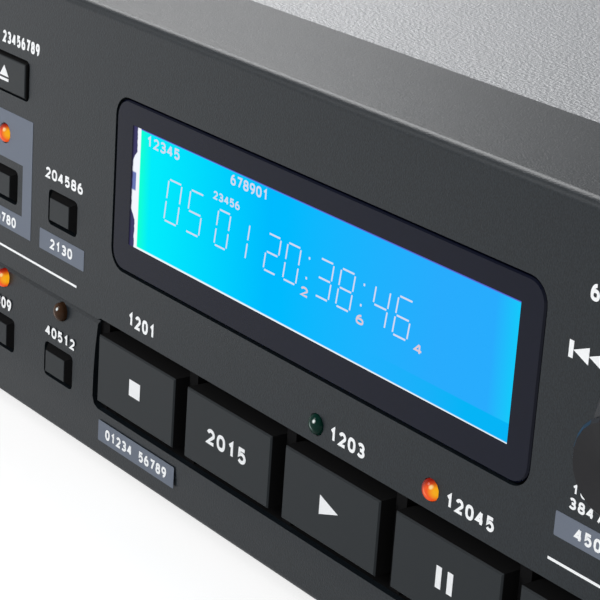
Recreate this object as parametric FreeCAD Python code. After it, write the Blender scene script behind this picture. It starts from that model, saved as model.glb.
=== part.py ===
# Rack-mount disc player, one rack unit high, as separate pieces.
# The front panel faces -Y, +X runs along it to the right, and +Z is up.
# The origin is the middle of the four rack slots, on the back face of the rack ears.
# Depths (the names near, far and depth) are counted from the front face towards the back.
import FreeCAD
import Part
import math
import os

Vector = FreeCAD.Vector

# Rack panel
panel_width = 482.6
panel_height = 44.0
panel_wall = 2.5
ear_thickness = 3.0
band_depth = 14.9
edge_round = 0.8
crease_level = -8.1
crease_depth = 0.55
crease_slope = 0.35
belly_level = -14.0
belly_setback = 0.35
slot_inset = 8.75
ear_reach = 23.3
slot_spacing_z = 31.75
slot_width = 6.8
slot_length = 10.0

# Case
body_depth = 291.0
sheet = 1.0
sheet_gap = 0.2
seam_gap = 0.3
tab_width = 10.0
rear_flange = 8.0
rear_tab_length = 20.0
rear_tab_height = 20.0
foot_radius = 6.0
foot_height = 1.4
foot_inset_x = 22.0
foot_inset_depth = 26.0
standoff_height = 5.8
standoff_radius = 2.6
boss_radius = 3.0
cooling_slot_count = 7
cooling_slot_width = 2.4
cooling_slot_height = 16.0
cooling_slot_pitch = 6.0
cooling_x = -60.0

# Display
window_x = 70.7
window_z = 6.45
window_width = 57.3
window_height = 16.15
window_corner = 1.8
window_gap = 0.22
window_thickness = 1.6
window_lip = 1.8
window_lip_thickness = 1.0
window_edge = 0.15
lcd_width = 54.0
lcd_height = 13.6
lcd_thickness = 1.8
lcd_air = 0.3
lamp_frame_margin = 1.2
lamp_frame_depth = 4.2
lamp_frame_leg = 4.0

# Keys and lamps
key_pitch = 14.81
key_width = 12.84
key_height = 6.73
key_first_x = 47.64
key_row_z = -12.15
key_row_count = 6
key_proud = 0.6
key_travel = 0.9
key_row_margin_x = 1.72
key_row_margin_z = 1.24
key_row_corner = 1.0
key_edge = 0.14
post_width = 1.3
post_recess = 0.82
small_key_width = 4.8
small_key_height = 3.05
small_key_proud = 0.42
small_key_gap = 0.25
small_hole_corner = 0.5
small_face_width = 3.4
small_face_height = 2.16
small_slope_depth = 0.7
eject_width = 8.3
eject_height = 3.55
eject_proud = 0.3
eject_edge = 0.2
key_flange_overhang = 0.55
key_flange_thickness = 1.0
key_stem_width = 2.4
rest_gap = 0.3
lamp_radius = 0.9
lamp_gap = 0.06
lamp_dome = 0.55
lamp_tip_radius = 0.5
lamp_collar_radius = 1.6
lamp_collar_length = 1.2
left_column_x = 21.9
right_column_x = 33.1
eject_x = 21.9
eject_z = 11.97
middle_row_z = 0.78
lower_row_z = -14.85
upper_lamp_z = 5.85
lower_lamp_z = -9.3
row_lamp_z = -5.8
row_lamp_offset = -3.2
far_key_inset = 68.0
far_key_pitch = 15.0
sensor_inset = 27.0
sensor_z = 6.45
sensor_radius = 3.4

# Jog dial
dial_x = 112.75
dial_z = 6.5
dial_skirt_radius = 6.6
dial_skirt_front = 1.2
dial_gap = 0.15
dial_waist_radius = 4.1
dial_face_radius = 3.6
dial_front = 5.95
dial_dish = 0.35
dial_edge = 0.3
dial_push = 0.4
dial_shaft_radius = 2.0
shaft_clearance = 0.05
encoder_width = 12.0
encoder_depth = 6.0
bush_radius = 3.4
bush_length = 3.2

# Headphone socket, level knob and power button, placed by their share of the room left of the tray
power_share = 0.24
phones_share = 0.48
level_share = 0.7563
socket_z = 5.0
phones_bore_radius = 3.2
phones_bush_radius = 5.0
phones_bush_length = 4.0
phones_nut_radius = 6.4
phones_body_width = 16.0
phones_body_depth = 26.0
level_knob_radius = 6.0
level_knob_height = 12.0
level_flute_count = 18
level_flute_depth = 0.45
level_shoulder = 2.5
level_shaft_radius = 2.6
level_body_radius = 8.0
level_body_depth = 9.0
power_width = 12.0
power_height = 7.0
power_proud = 1.6
power_travel = 3.0
power_gap = 0.3
power_corner = 1.0
power_edge = 0.4

# Circuit boards
board_thickness = 1.6
front_board_depth = 10.0
front_board_left = 8.0
front_board_side_gap = 12.8
front_board_margin = 3.6
switch_width = 4.6
switch_height = 4.0
switch_front = 6.4
main_board_left = 14.0
main_board_near = 64.0
power_board_near = 78.0
board_side_gap = 5.8
board_rear_gap = 3.0
board_loader_gap = 8.7
board_inlet_gap = 11.0
board_hole_inset = 5.0
transformer_width = 46.0
transformer_depth = 38.0
transformer_height = 30.0
transformer_winding = 26.0
transformer_rear_gap = 20.0
winding_reach = 6.0
winding_drop = 4.0
capacitor_radius = 6.5
capacitor_height = 20.0
capacitor_side_gap = 14.0
capacitor_front_gap = 22.0
capacitor_pitch_x = 18.0
capacitor_pitch_depth = 20.0
heat_sink_front_gap = 66.0
heat_sink_side_gap = 12.0
heat_sink_base = 3.0
heat_fin_count = 7
heat_fin_height = 22.0
heat_fin_reach = 9.0
heat_fin_thickness = 1.6
ribbon_width = 24.0
ribbon_thickness = 0.4
ribbon_level = -9.0
ribbon_plug_depth = 1.6
ribbon_plug_height = 6.0
ribbon_socket_inset = 8.5
ribbon_socket_length = 3.5

# Disc tray and its loader
disc_diameter = 120.0
disc_clearance = 0.8
tray_x = -69.0
tray_bottom = -1.0
tray_floor = 1.6
tray_top = 6.2
small_disc_radius = 41.0
small_disc_step = 0.8
tray_rim = 2.2
tray_front_wall = 4.2
tray_tail = 47.2
tray_tie_length = 15.0
tray_tie_thickness = 3.0
tray_travel = 130.0
tray_rail_width = 2.0
tray_rail_height = 2.0
tray_rail_start = 22.0
tray_gap = 0.3
door_overhang = 2.7
door_height = 19.6
door_thickness = 3.0
door_z = 5.6
door_corner = 0.9
door_gap = 0.3
loader_wall = 5.0
loader_floor = 1.5
loader_start = 19.0
loader_pivot_gap = 5.0
loader_wall_top = 9.0
loader_bay_half = 36.0
loader_bay_start = 42.0
loader_foot_inset = 8.0

# Tray drive
rack_module = 1.0
rack_offset = 40.0
rack_back = 3.0
rack_height = 3.0
rack_tooth_count = 45
pinion_teeth = 14
pinion_depth = 32.0
reduction_module = 0.8
reduction_teeth = 35
motor_gear_teeth = 10
gear_thickness = 2.4
gear_gap = 0.35
gear_pin_radius = 1.5
motor_radius = 8.0
motor_shaft_radius = 1.0

# Disc deck under the tray
deck_half_width = 30.0
deck_front_reach = 22.0
deck_top = -1.7
deck_sheet = 1.5
deck_skirt = 3.4
deck_pivot_depth = 186.0
deck_pivot_radius = 1.5
deck_pivot_boss = 3.2
platter_radius = 15.0
platter_thickness = 1.2
platter_top = 5.4
hub_radius = 7.3
hub_height = 2.0
spindle_radius = 1.0
spindle_motor_radius = 11.0
spindle_motor_height = 5.6
slot_margin = 3.0
pickup_inner_radius = 24.0
pickup_travel = 34.0
pickup_half_width = 24.5
pickup_half_length = 8.0
pickup_height = 5.6
lens_radius = 2.6
lens_barrel_radius = 5.0
lens_top = 2.4
guide_rod_radius = 1.5
sled_screw_radius = 1.0
guide_rod_offset = 21.0
rod_tab = 2.0
rod_tab_half = 3.0
sled_screw_offset = 28.8
sled_motor_radius = 4.6
sled_motor_length = 18.0

# Disc clamp over the tray
bridge_width = 30.0
bridge_rise = 1.6
puck_radius = 15.0
puck_neck_radius = 10.0
puck_neck_gap = 0.4
puck_bottom = 6.5
puck_thickness = 1.9
puck_recess = 1.4
puck_recess_gap = 0.5
puck_cap_radius = 12.5
puck_cap_thickness = 1.2

# Sockets on the back
inlet_width = 27.6
inlet_height = 20.0
inlet_cavity_width = 24.6
inlet_cavity_height = 17.0
inlet_cavity_depth = 15.5
inlet_depth = 22.0
inlet_flange = 2.0
rca_first_x = 40.0
rca_pitch = 18.0
rca_count = 3
rca_shell_radius = 4.15
rca_core_radius = 3.3
rca_pin_hole_radius = 1.6
rca_length = 8.0
rca_root = 0.6
rca_block = 12.0
serial_inset = 68.0
serial_width = 30.8
serial_height = 12.5
serial_shell_width = 18.5
serial_shell_height = 8.4
serial_shell_length = 5.8
socket_row_z = -3.0

# Round bars have this many flat sides, and round corners this many steps
bar_sides = 12
fine_sides = 24
lamp_sides = 12
recess_sides = 32
jack_sides = 12
corner_steps = 2
window_corner_steps = 6

# Places worked out from the sizes above
face_y = -ear_thickness
half_height = panel_height / 2
slot_spacing_x = panel_width - 2 * slot_inset
half_body = panel_width / 2 - ear_reach
case_bottom = -half_height + sheet_gap
floor_top = case_bottom + sheet
case_top = half_height - sheet_gap
roof = case_top - sheet
case_near = band_depth + seam_gap
rear_plate_near = body_depth - 2 * sheet
side_inner = half_body - 2 * sheet - sheet_gap
rear_plate_far = rear_plate_near + sheet
board_bottom = floor_top + standoff_height
board_top = board_bottom + board_thickness
lcd_near = window_thickness + lcd_air
recess_radius = disc_diameter / 2 + disc_clearance
tray_half = recess_radius + tray_rim
disc_depth = door_thickness + tray_front_wall + recess_radius
tray_end = disc_depth + recess_radius + tray_tail
door_width = 2 * (tray_half + door_overhang)
door_left = tray_x - door_width / 2
left_room = door_left + half_body
power_x = -half_body + power_share * left_room
phones_x = -half_body + phones_share * left_room
level_x = -half_body + level_share * left_room
far_key_first_x = half_body - far_key_inset
sensor_x = half_body - sensor_inset
serial_x = half_body - serial_inset
front_board_right = side_inner - front_board_side_gap
slot_half = platter_radius + slot_margin
loader_inner = tray_half + tray_gap
loader_end = deck_pivot_depth + loader_pivot_gap
main_board_right = side_inner - board_side_gap
main_board_far = rear_plate_near - board_rear_gap
power_board_left = -side_inner + board_side_gap
power_board_right = tray_x - loader_inner - loader_wall - board_loader_gap
power_board_far = rear_plate_near - inlet_depth + inlet_flange - board_inlet_gap
power_board_middle = (power_board_left + power_board_right) / 2
inlet_x = power_board_middle
loader_bottom = board_bottom
loader_floor_top = loader_bottom + loader_floor
pinion_radius = rack_module * pinion_teeth / 2
reduction_radius = reduction_module * reduction_teeth / 2
motor_gear_radius = reduction_module * motor_gear_teeth / 2
gear_x = tray_x + rack_offset + pinion_radius
motor_x = gear_x - reduction_radius - motor_gear_radius
rack_bottom = tray_bottom - rack_height
reduction_top = rack_bottom - gear_gap
reduction_bottom = reduction_top - gear_thickness
deck_bottom = deck_top - deck_sheet
deck_front = disc_depth - deck_front_reach
pivot_z = deck_bottom - deck_pivot_radius / 2
rod_z = deck_bottom - 2 * guide_rod_radius
pickup_top = deck_bottom - gear_gap
pickup_rest = disc_depth + pickup_inner_radius
bridge_bottom = loader_wall_top
bridge_top = bridge_bottom + sheet
small_flange = key_flange_overhang + small_key_gap
key_flange_near = panel_wall + rest_gap
key_flange_far = key_flange_near + key_flange_thickness
stem_end = switch_front - key_travel - 0.02


def box(left, right, near, far, low, high):
    """A block between two limits along the width, the depth and the height."""
    corner = Vector(left, face_y + near, low)
    return Part.makeBox(right - left, far - near, high - low, corner)


def bar(start, direction, length, radius, sides):
    """A round bar. Its corners lie on the circle; with no sides it is truly round."""
    if sides == 0:
        return Part.makeCylinder(radius, length, start, direction)
    across = Vector(0, 1, 0) if abs(direction.x) > 0.5 else Vector(1, 0, 0)
    other = direction.cross(across)
    points = []
    for index in range(sides):
        angle = 2 * math.pi * (index + 0.5) / sides
        points.append(start + across * (radius * math.cos(angle)) + other * (radius * math.sin(angle)))
    return Part.Face(Part.makePolygon(points + points[:1])).extrude(direction * length)


def clear(radius, sides=bar_sides):
    """The radius of a hole's corners at which its flats lie on the wanted radius."""
    return radius / math.cos(math.pi / sides)


def rod_along_depth(x, z, radius, near, far, sides=bar_sides):
    """A round bar that runs from front to back."""
    return bar(Vector(x, face_y + near, z), Vector(0, 1, 0), far - near, radius, sides)


def rod_upright(x, depth, radius, low, high, sides=bar_sides):
    """A round bar that stands up."""
    return bar(Vector(x, face_y + depth, low), Vector(0, 0, 1), high - low, radius, sides)


def rod_across(depth, z, radius, left, right, sides=bar_sides):
    """A round bar that runs along the width."""
    return bar(Vector(left, face_y + depth, z), Vector(1, 0, 0), right - left, radius, sides)


def rounded_outline(half_width, half_height, corner, steps):
    """Corners of a rectangle with rounded corners, about its middle."""
    if corner <= 0:
        return [(-half_width, -half_height), (half_width, -half_height),
                (half_width, half_height), (-half_width, half_height)]
    outline = []
    turns = ((1, -1, -90), (1, 1, 0), (-1, 1, 90), (-1, -1, 180))
    for side_x, side_z, start in turns:
        for step in range(steps + 1):
            angle = math.radians(start + 90 * step / steps)
            outline.append((side_x * (half_width - corner) + corner * math.cos(angle),
                            side_z * (half_height - corner) + corner * math.sin(angle)))
    return outline


def plate(x, z, width, height, corner, near, far, steps=corner_steps):
    """A block with rounded corners, seen from the front."""
    points = [Vector(x + along, face_y + near, z + up)
              for along, up in rounded_outline(width / 2, height / 2, corner, steps)]
    return Part.Face(Part.makePolygon(points + points[:1])).extrude(Vector(0, far - near, 0))


def rack_slot(x, z):
    """The cutting tool for one rack slot, with truly round ends."""
    half = slot_length / 2 - slot_width / 2
    middle = box(x - half, x + half, -1, ear_thickness + 1, z - slot_width / 2, z + slot_width / 2)
    ends = [rod_along_depth(x + side * half, z, slot_width / 2, -1, ear_thickness + 1, 0) for side in (-1, 1)]
    return join(middle, *ends)


def front_edges(body, near):
    """The edges of a body that lie in its front face."""
    level = face_y + near
    return [edge for edge in body.Edges
            if abs(edge.BoundBox.YMin - level) < 0.001 and edge.BoundBox.YLength < 0.001]


def join(first, *others):
    """One solid from pieces that touch or overlap."""
    body = first
    for other in others:
        body = body.fuse(other)
    return body.removeSplitter()


def carve(body, *tools):
    """A body with every tool taken away from it."""
    for tool in tools:
        body = body.cut(tool)
    return body


def turned(profile, x, z, sides=fine_sides):
    """A turned body with flat facets, about an axis from front to back.

    The profile is a closed list of (radius, depth) corners.
    """
    def corner(radius, depth, index):
        angle = 2 * math.pi * (index + 0.5) / sides
        return Vector(x + radius * math.cos(angle), face_y + depth, z + radius * math.sin(angle))

    faces = []
    for (radius, depth), (next_radius, next_depth) in zip(profile, profile[1:] + profile[:1]):
        for index in range(sides):
            corners = [corner(radius, depth, index)]
            if radius > 0:
                corners.append(corner(radius, depth, index + 1))
            if next_radius > 0:
                corners.append(corner(next_radius, next_depth, index + 1))
            if next_radius > 0 or radius > 0:
                corners.append(corner(next_radius, next_depth, index))
                faces.append(Part.Face(Part.makePolygon(corners + corners[:1])))
    body = Part.Solid(Part.makeShell(faces))
    if body.Volume < 0:
        body.reverse()
    return body.removeSplitter()


def gear(x, depth, module, teeth, low, high, first_angle, bore):
    """A spur gear with straight-sided teeth, one of which points along the first angle."""
    pitch_radius = module * teeth / 2
    root_radius = pitch_radius - 1.15 * module
    tip_radius = pitch_radius + 0.9 * module
    step = 2 * math.pi / teeth
    corners = []
    for tooth in range(teeth):
        middle = first_angle + tooth * step
        outline = ((root_radius, -0.36), (tip_radius, -0.13), (tip_radius, 0.13), (root_radius, 0.36))
        for radius, share in outline:
            angle = middle + share * step
            corners.append(Vector(x + radius * math.cos(angle),
                                  face_y + depth + radius * math.sin(angle), low))
    wheel = Part.Face(Part.makePolygon(corners + corners[:1])).extrude(Vector(0, 0, high - low))
    return wheel.cut(rod_upright(x, depth, clear(bore), low - 1, high + 1))


def panel_profile(left, right):
    """The panel's outer section: rounded nose edges, a shallow crease and a soft belly below it."""
    top = half_height
    bottom = -half_height
    diagonal = edge_round * (1 - math.sqrt(0.5))
    belly_end = bottom + edge_round

    def at(depth, z):
        return Vector(left, face_y + depth, z)

    edges = [
        Part.LineSegment(at(band_depth, top), at(edge_round, top)),
        Part.Arc(at(edge_round, top), at(diagonal, top - diagonal), at(0, top - edge_round)),
        Part.LineSegment(at(0, top - edge_round), at(0, crease_level + crease_slope)),
        Part.LineSegment(at(0, crease_level + crease_slope), at(crease_depth, crease_level)),
        Part.LineSegment(at(crease_depth, crease_level), at(belly_setback, crease_level - crease_slope)),
        Part.Arc(at(belly_setback, crease_level - crease_slope), at(0, belly_level),
                 at(belly_setback, belly_end)),
        Part.Arc(at(belly_setback, belly_end),
                 at(belly_setback + diagonal, bottom + diagonal),
                 at(belly_setback + edge_round, bottom)),
        Part.LineSegment(at(belly_setback + edge_round, bottom), at(band_depth, bottom)),
        Part.LineSegment(at(band_depth, bottom), at(band_depth, top)),
    ]
    wire = Part.Wire([edge.toShape() for edge in edges])
    return Part.Face(wire).extrude(Vector(right - left, 0, 0))


def row_key_x(index):
    """The middle of one key of the long row."""
    return key_first_x + index * key_pitch


def small_key_places():
    """Name and middle of each small key."""
    places = {
        "shift_key": (left_column_x, middle_row_z),
        "display_key": (right_column_x, middle_row_z),
        "cue_key": (left_column_x, lower_row_z),
        "flash_key": (right_column_x, lower_row_z),
    }
    for index, name in enumerate(("repeat_key", "random_key", "program_key")):
        places[name] = (far_key_first_x + index * far_key_pitch, middle_row_z)
    return places


def row_key_places():
    """Name and middle of each key of the long row."""
    names = ("stop_key", "call_key", "play_key", "pause_key", "search_back_key", "search_ahead_key")
    return {name: (row_key_x(index), key_row_z) for index, name in enumerate(names)}


def lamp_places():
    """Middle of each lamp, by colour."""
    play_x = row_key_x(2) + row_lamp_offset
    pause_x = row_key_x(3) + row_lamp_offset
    return {
        "orange_lamps": ((left_column_x, upper_lamp_z), (left_column_x, lower_lamp_z), (pause_x, row_lamp_z)),
        "unlit_lamps": ((play_x, row_lamp_z), (right_column_x, lower_lamp_z)),
    }


def board_boss_places():
    """Middle of each boss that carries the front board."""
    left = front_board_left + board_hole_inset
    right = front_board_right - board_hole_inset
    level = half_height - panel_wall - board_hole_inset
    return ((left, level), (right, level), (left, -level), (right, -level))


def panel_tab_places():
    """Middle of each screw that ties the panel to the case."""
    x = side_inner - tab_width / 2
    z = half_height - panel_wall - board_hole_inset
    return ((-x, z), (x, z), (-x, -z), (x, -z))


def make_front_panel():
    """The moulded panel with rack ears, its openings, bosses and key posts."""
    body = panel_profile(-panel_width / 2, panel_width / 2)
    inside = half_height - panel_wall
    end = half_body - panel_wall
    body = carve(
        body,
        box(-end, end, panel_wall, band_depth + 1, -inside, inside),
        box(-panel_width, -half_body, ear_thickness, band_depth + 1, -panel_height, panel_height),
        box(half_body, panel_width, ear_thickness, band_depth + 1, -panel_height, panel_height),
    )
    through = panel_wall + 1
    row_left = key_first_x - key_width / 2 - key_row_margin_x
    row_right = row_key_x(key_row_count - 1) + key_width / 2 + key_row_margin_x
    row_width = row_right - row_left
    row_height = key_height + 2 * key_row_margin_z
    tools = [
        plate((row_left + row_right) / 2, key_row_z, row_width, row_height, key_row_corner, -1, through),
        plate(window_x, window_z, window_width + 2 * window_gap, window_height + 2 * window_gap,
              window_corner + window_gap, -1, through, window_corner_steps),
        plate(tray_x, door_z, door_width + 2 * door_gap, door_height + 2 * door_gap,
              door_corner + door_gap, -1, through),
        plate(power_x, socket_z, power_width + 2 * power_gap, power_height + 2 * power_gap,
              power_corner + power_gap, -1, through),
        rod_along_depth(phones_x, socket_z, clear(phones_bush_radius), -1, through),
        rod_along_depth(level_x, socket_z, clear(bush_radius), -1, through),
        rod_along_depth(dial_x, dial_z, clear(bush_radius), -1, through),
        rod_along_depth(sensor_x, sensor_z, clear(sensor_radius, fine_sides), -1, through, fine_sides),
    ]
    caps = [(place, small_key_width, small_key_height) for place in small_key_places().values()]
    caps.append(((eject_x, eject_z), eject_width, eject_height))
    for (x, z), width, height in caps:
        tools.append(plate(x, z, width + 2 * small_key_gap, height + 2 * small_key_gap,
                           small_hole_corner, -1, through))
    for places in lamp_places().values():
        for x, z in places:
            tools.append(rod_along_depth(x, z, clear(lamp_radius + lamp_gap, lamp_sides), -1, through,
                                     lamp_sides))
    for side_x in (-1, 1):
        for side_z in (-1, 1):
            tools.append(rack_slot(side_x * slot_spacing_x / 2, side_z * slot_spacing_z / 2))
    body = carve(body, *tools)
    additions = []
    for index in range(key_row_count + 1):
        x = key_first_x + (index - 0.5) * key_pitch
        left = row_left - 0.5 if index == 0 else x - post_width / 2
        right = row_right + 0.5 if index == key_row_count else x + post_width / 2
        additions.append(box(left, right, post_recess, panel_wall,
                             key_row_z - row_height / 2 - 0.5, key_row_z + row_height / 2 + 0.5))
    for x, z in board_boss_places():
        additions.append(rod_along_depth(x, z, standoff_radius, panel_wall - 0.5, front_board_depth, 6))
    for x, z in panel_tab_places():
        additions.append(rod_along_depth(x, z, boss_radius, panel_wall - 0.5, case_near, 6))
    return join(body, *additions)


def make_display():
    """The smoked window, the cell behind it and the lamp frame that holds and lights it."""
    window = plate(window_x, window_z, window_width, window_height, window_corner, 0, window_thickness,
                   window_corner_steps)
    window = window.makeChamfer(window_edge, front_edges(window, 0))
    cell = plate(window_x, window_z, lcd_width, lcd_height, 0, lcd_near, lcd_near + lcd_thickness)
    frame_far = lcd_near + lamp_frame_depth
    frame = join(
        plate(window_x, window_z, window_width, window_height, window_corner,
              window_thickness, panel_wall + 0.1, window_corner_steps),
        plate(window_x, window_z, window_width + 2 * window_lip, window_height + 2 * window_lip, 0,
              panel_wall, panel_wall + window_lip_thickness),
        plate(window_x, window_z, lcd_width + 2 * lamp_frame_margin, lcd_height + 2 * lamp_frame_margin, 0,
              panel_wall, frame_far),
    )
    frame = carve(frame, plate(window_x, window_z, lcd_width, lcd_height, 0,
                               window_thickness - 1, lcd_near + lcd_thickness))
    legs = []
    for side in (-1, 1):
        middle = window_x + side * lcd_width / 3
        legs.append(box(middle - lamp_frame_leg / 2, middle + lamp_frame_leg / 2, frame_far - 0.2,
                        front_board_depth, window_z - lamp_frame_leg, window_z + lamp_frame_leg))
    return {"display_window": [window], "display_cell": [cell], "display_frame": [join(frame, *legs)]}


def make_row_key(x, z):
    """One large key: a flat cap with crisp edges, a flange behind the panel and a stem."""
    cap = box(x - key_width / 2, x + key_width / 2, -key_proud, key_flange_far,
              z - key_height / 2, z + key_height / 2)
    cap = cap.makeChamfer(key_edge, front_edges(cap, -key_proud))
    flange_width = key_pitch - 2 * rest_gap
    flange_height = key_height + 2 * (key_row_margin_z + key_flange_overhang)
    flange = box(x - flange_width / 2, x + flange_width / 2, key_flange_near, key_flange_far,
                 z - flange_height / 2, z + flange_height / 2)
    stem = box(x - key_stem_width / 2, x + key_stem_width / 2, key_flange_far - 0.2, stem_end,
               z - key_stem_width / 2, z + key_stem_width / 2)
    return join(cap, flange, stem)


def tapered_block(x, z, front, back, near, far):
    """A block whose front rectangle (width, height) is smaller than its back one."""
    rings = []
    for (width, height), depth in ((front, near), (back, far)):
        rings.append([Vector(x + side_x * width / 2, face_y + depth, z + side_z * height / 2)
                      for side_x, side_z in ((-1, -1), (1, -1), (1, 1), (-1, 1))])
    sides = [rings[0], rings[1]]
    for index in range(4):
        after = (index + 1) % 4
        sides.append([rings[0][index], rings[0][after], rings[1][after], rings[1][index]])
    body = Part.Solid(Part.makeShell([Part.Face(Part.makePolygon(side + side[:1])) for side in sides]))
    if body.Volume < 0:
        body.reverse()
    return body


def back_of_key(x, z, width, height):
    """The flange that keeps a key behind the panel, and the stem that works its switch."""
    flange_width = width + 2 * small_flange
    flange_height = height + 2 * small_flange
    flange = plate(x, z, flange_width, flange_height, 0, key_flange_near, key_flange_far)
    stem = plate(x, z, key_stem_width, key_stem_width, 0, key_flange_far - 0.2, stem_end)
    return join(flange, stem)


def make_small_key(x, z):
    """One small key: a cap with four sloped sides around a smaller face."""
    slope_end = small_slope_depth - small_key_proud
    whole = (small_key_width, small_key_height)
    cap = tapered_block(x, z, (small_face_width, small_face_height), whole, -small_key_proud, slope_end)
    root = plate(x, z, small_key_width, small_key_height, 0, slope_end, key_flange_far)
    return join(cap, root, back_of_key(x, z, small_key_width, small_key_height))


def make_eject_key():
    """The wider key that opens the tray: a flat cap with softened edges."""
    cap = plate(eject_x, eject_z, eject_width, eject_height, 0, -eject_proud, key_flange_far)
    cap = cap.makeChamfer(eject_edge, front_edges(cap, -eject_proud))
    return join(cap, back_of_key(eject_x, eject_z, eject_width, eject_height))


def make_keys():
    """Every key on the panel."""
    pieces = {name: [make_row_key(*place)] for name, place in row_key_places().items()}
    for name, place in small_key_places().items():
        pieces[name] = [make_small_key(*place)]
    pieces["eject_key"] = [make_eject_key()]
    return pieces


def make_lamp(x, z):
    """One lamp: a sloped tip in the panel and a body that stands on the board."""
    collar_near = front_board_depth - lamp_collar_length
    profile = [
        (0, -lamp_dome),
        (lamp_tip_radius, -lamp_dome),
        (lamp_radius, 0),
        (lamp_radius, collar_near),
        (lamp_collar_radius, collar_near),
        (lamp_collar_radius, front_board_depth),
        (0, front_board_depth),
    ]
    return turned(profile, x, z, lamp_sides)


def make_front_board():
    """The board behind the panel, its key switches and the remote sensor."""
    top = half_height - front_board_margin
    board = box(front_board_left, front_board_right, front_board_depth, front_board_depth + board_thickness,
                -top, top)
    keys = list(row_key_places().values()) + list(small_key_places().values()) + [(eject_x, eject_z)]
    switches = []
    for x, z in keys:
        base = plate(x, z, switch_width, switch_height, 0, switch_front + 0.8, front_board_depth)
        button = plate(x, z, key_stem_width, key_stem_width, 0, switch_front, switch_front + 1)
        switches.append(join(base, button))
    sensor = join(
        rod_along_depth(sensor_x, sensor_z, sensor_radius - 0.02, 0, panel_wall + 0.1, fine_sides),
        rod_along_depth(sensor_x, sensor_z, sensor_radius + 1, panel_wall, panel_wall + 1, fine_sides),
        box(sensor_x - 2, sensor_x + 2, panel_wall + 0.9, front_board_depth, sensor_z - 2, sensor_z + 2),
    )
    return {"front_board": [board], "key_switches": switches, "sensor_window": [sensor]}


def make_dial():
    """The jog dial, the plunger that its push works, and the encoder behind it."""
    shaft_end = bush_length + encoder_depth - 1.6
    waist = dial_skirt_front + 0.9
    profile = [
        (0, -dial_front + dial_dish),
        (dial_face_radius - dial_edge, -dial_front),
        (dial_face_radius, -dial_front + dial_edge),
        (dial_waist_radius, -waist),
        (dial_skirt_radius - 0.3, -dial_skirt_front),
        (dial_skirt_radius, -dial_skirt_front + 0.3),
        (dial_skirt_radius, -dial_gap - dial_push),
        (dial_shaft_radius, -dial_gap - dial_push),
        (dial_shaft_radius, shaft_end),
        (0, shaft_end),
    ]
    dial = turned(profile, dial_x, dial_z)
    half = encoder_width / 2
    bush_far = panel_wall + 0.6
    case = box(dial_x - half, dial_x + half, bush_far, front_board_depth, dial_z - half, dial_z + half)
    bush = rod_along_depth(dial_x, dial_z, bush_radius - 0.05, 0.3, bush_far + 0.1)
    encoder = join(case, bush)
    encoder = carve(
        encoder,
        rod_along_depth(dial_x, dial_z, clear(dial_shaft_radius + shaft_clearance), -1,
                        front_board_depth - 1),
        rod_along_depth(dial_x, dial_z, clear(half - 1.5), shaft_end + shaft_clearance,
                        front_board_depth - 0.6),
    )
    plunger_near = shaft_end + shaft_clearance + 0.02
    plunger = rod_along_depth(dial_x, dial_z, half - 1.6, plunger_near, plunger_near + 0.9)
    return {"jog_dial": [dial], "encoder_plunger": [plunger], "dial_encoder": [encoder]}


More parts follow.
